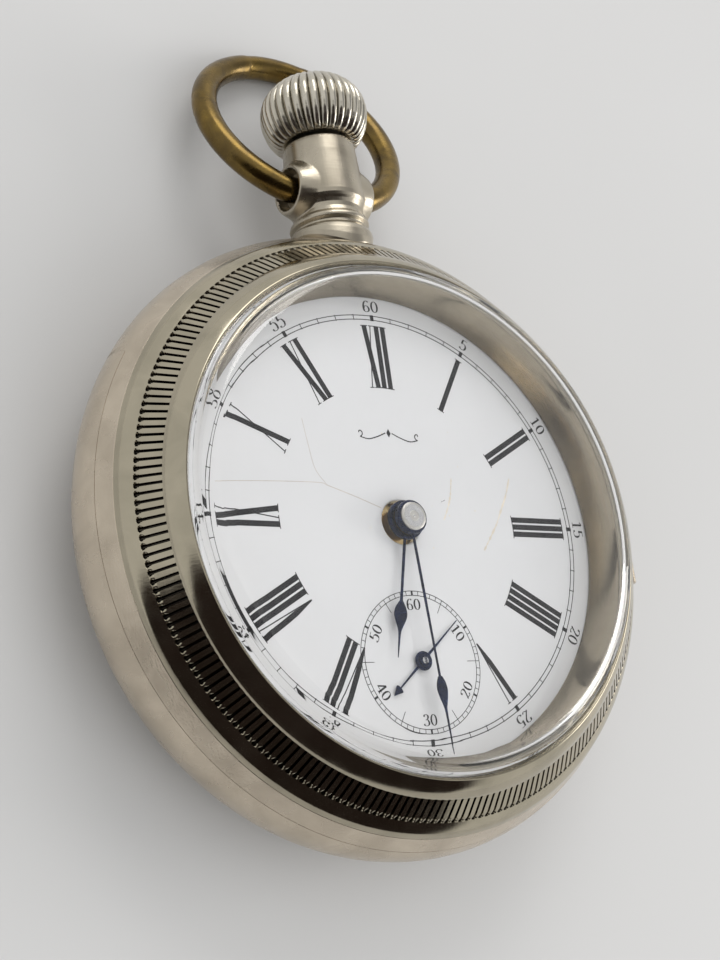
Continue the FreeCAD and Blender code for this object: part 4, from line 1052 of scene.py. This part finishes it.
def world():
    """Soft pale room. In reflections it has a dark side towards six o'clock and a dimmer ceiling."""
    w = bpy.data.worlds.new("room")
    bpy.context.scene.world = w
    w.use_nodes = True
    n, links = w.node_tree.nodes, w.node_tree.links
    direction = n.new("ShaderNodeTexCoord").outputs["Generated"]
    side = room_patch(n, links, direction, (-0.268, -0.824, 0.50), 0.52, 0.58, (0.024, 0.016, 0.014))
    ceiling = room_patch(n, links, direction, (0.56, 0.28, 0.78), 0.86, 0.97, (0.34, 0.34, 0.35))
    both = n.new("ShaderNodeMix")
    both.data_type, both.blend_type = "RGBA", "DARKEN"
    both.inputs[0].default_value = 1.0
    links.new(side, both.inputs[6])
    links.new(ceiling, both.inputs[7])
    path = n.new("ShaderNodeLightPath")
    bounced = n.new("ShaderNodeMath")          # 1 for a reflection, 0 for light through the crystal
    bounced.operation, bounced.use_clamp = "SUBTRACT", True
    links.new(path.outputs["Is Glossy Ray"], bounced.inputs[0])
    links.new(path.outputs["Is Transmission Ray"], bounced.inputs[1])
    mix = n.new("ShaderNodeMix")
    mix.data_type = "RGBA"
    mix.inputs[6].default_value = ROOM
    links.new(bounced.outputs[0], mix.inputs[0])
    links.new(both.outputs[2], mix.inputs[7])
    links.new(mix.outputs[2], n["Background"].inputs["Color"])
    n["Background"].inputs["Strength"].default_value = 0.93


def camera():
    """Stands to the lower left of the dial, 144 mm from its centre."""
    back_dir = Vector((-0.56222, -0.28110, 0.77775)).normalized()
    up = Vector((-0.05054, 0.95038, 0.30696))
    right = up.cross(back_dir).normalized()
    up = back_dir.cross(right)
    data = bpy.data.cameras.new("camera")
    data.lens, data.sensor_width, data.sensor_fit = 62.01, 36.0, "AUTO"
    data.clip_start, data.clip_end = 0.005, 10
    obj = bpy.data.objects.new("camera", data)
    bpy.context.scene.collection.objects.link(obj)
    axes = Matrix((right, up, back_dir)).transposed().to_4x4()
    obj.matrix_world = Matrix.Translation(Vector((-83.74, -36.35, 122.58)) * MM) @ axes
    bpy.context.scene.camera = obj


floor()
world()
area("key", (0.06, 0.52, 0.42), (0.40, 0.30), 1.1, (1.0, 0.98, 0.96))
area("side", (0.62, -0.06, 0.22), (0.30, 0.24), 1.2, (1.0, 0.97, 0.94))
fill = area("fill", (0.20, -0.45, 0.50), (0.50, 0.40), 0.7)
fill.visible_glossy = False
camera()
bpy.context.scene.view_settings.view_transform = "Standard"

bpy.context.view_layer.update()
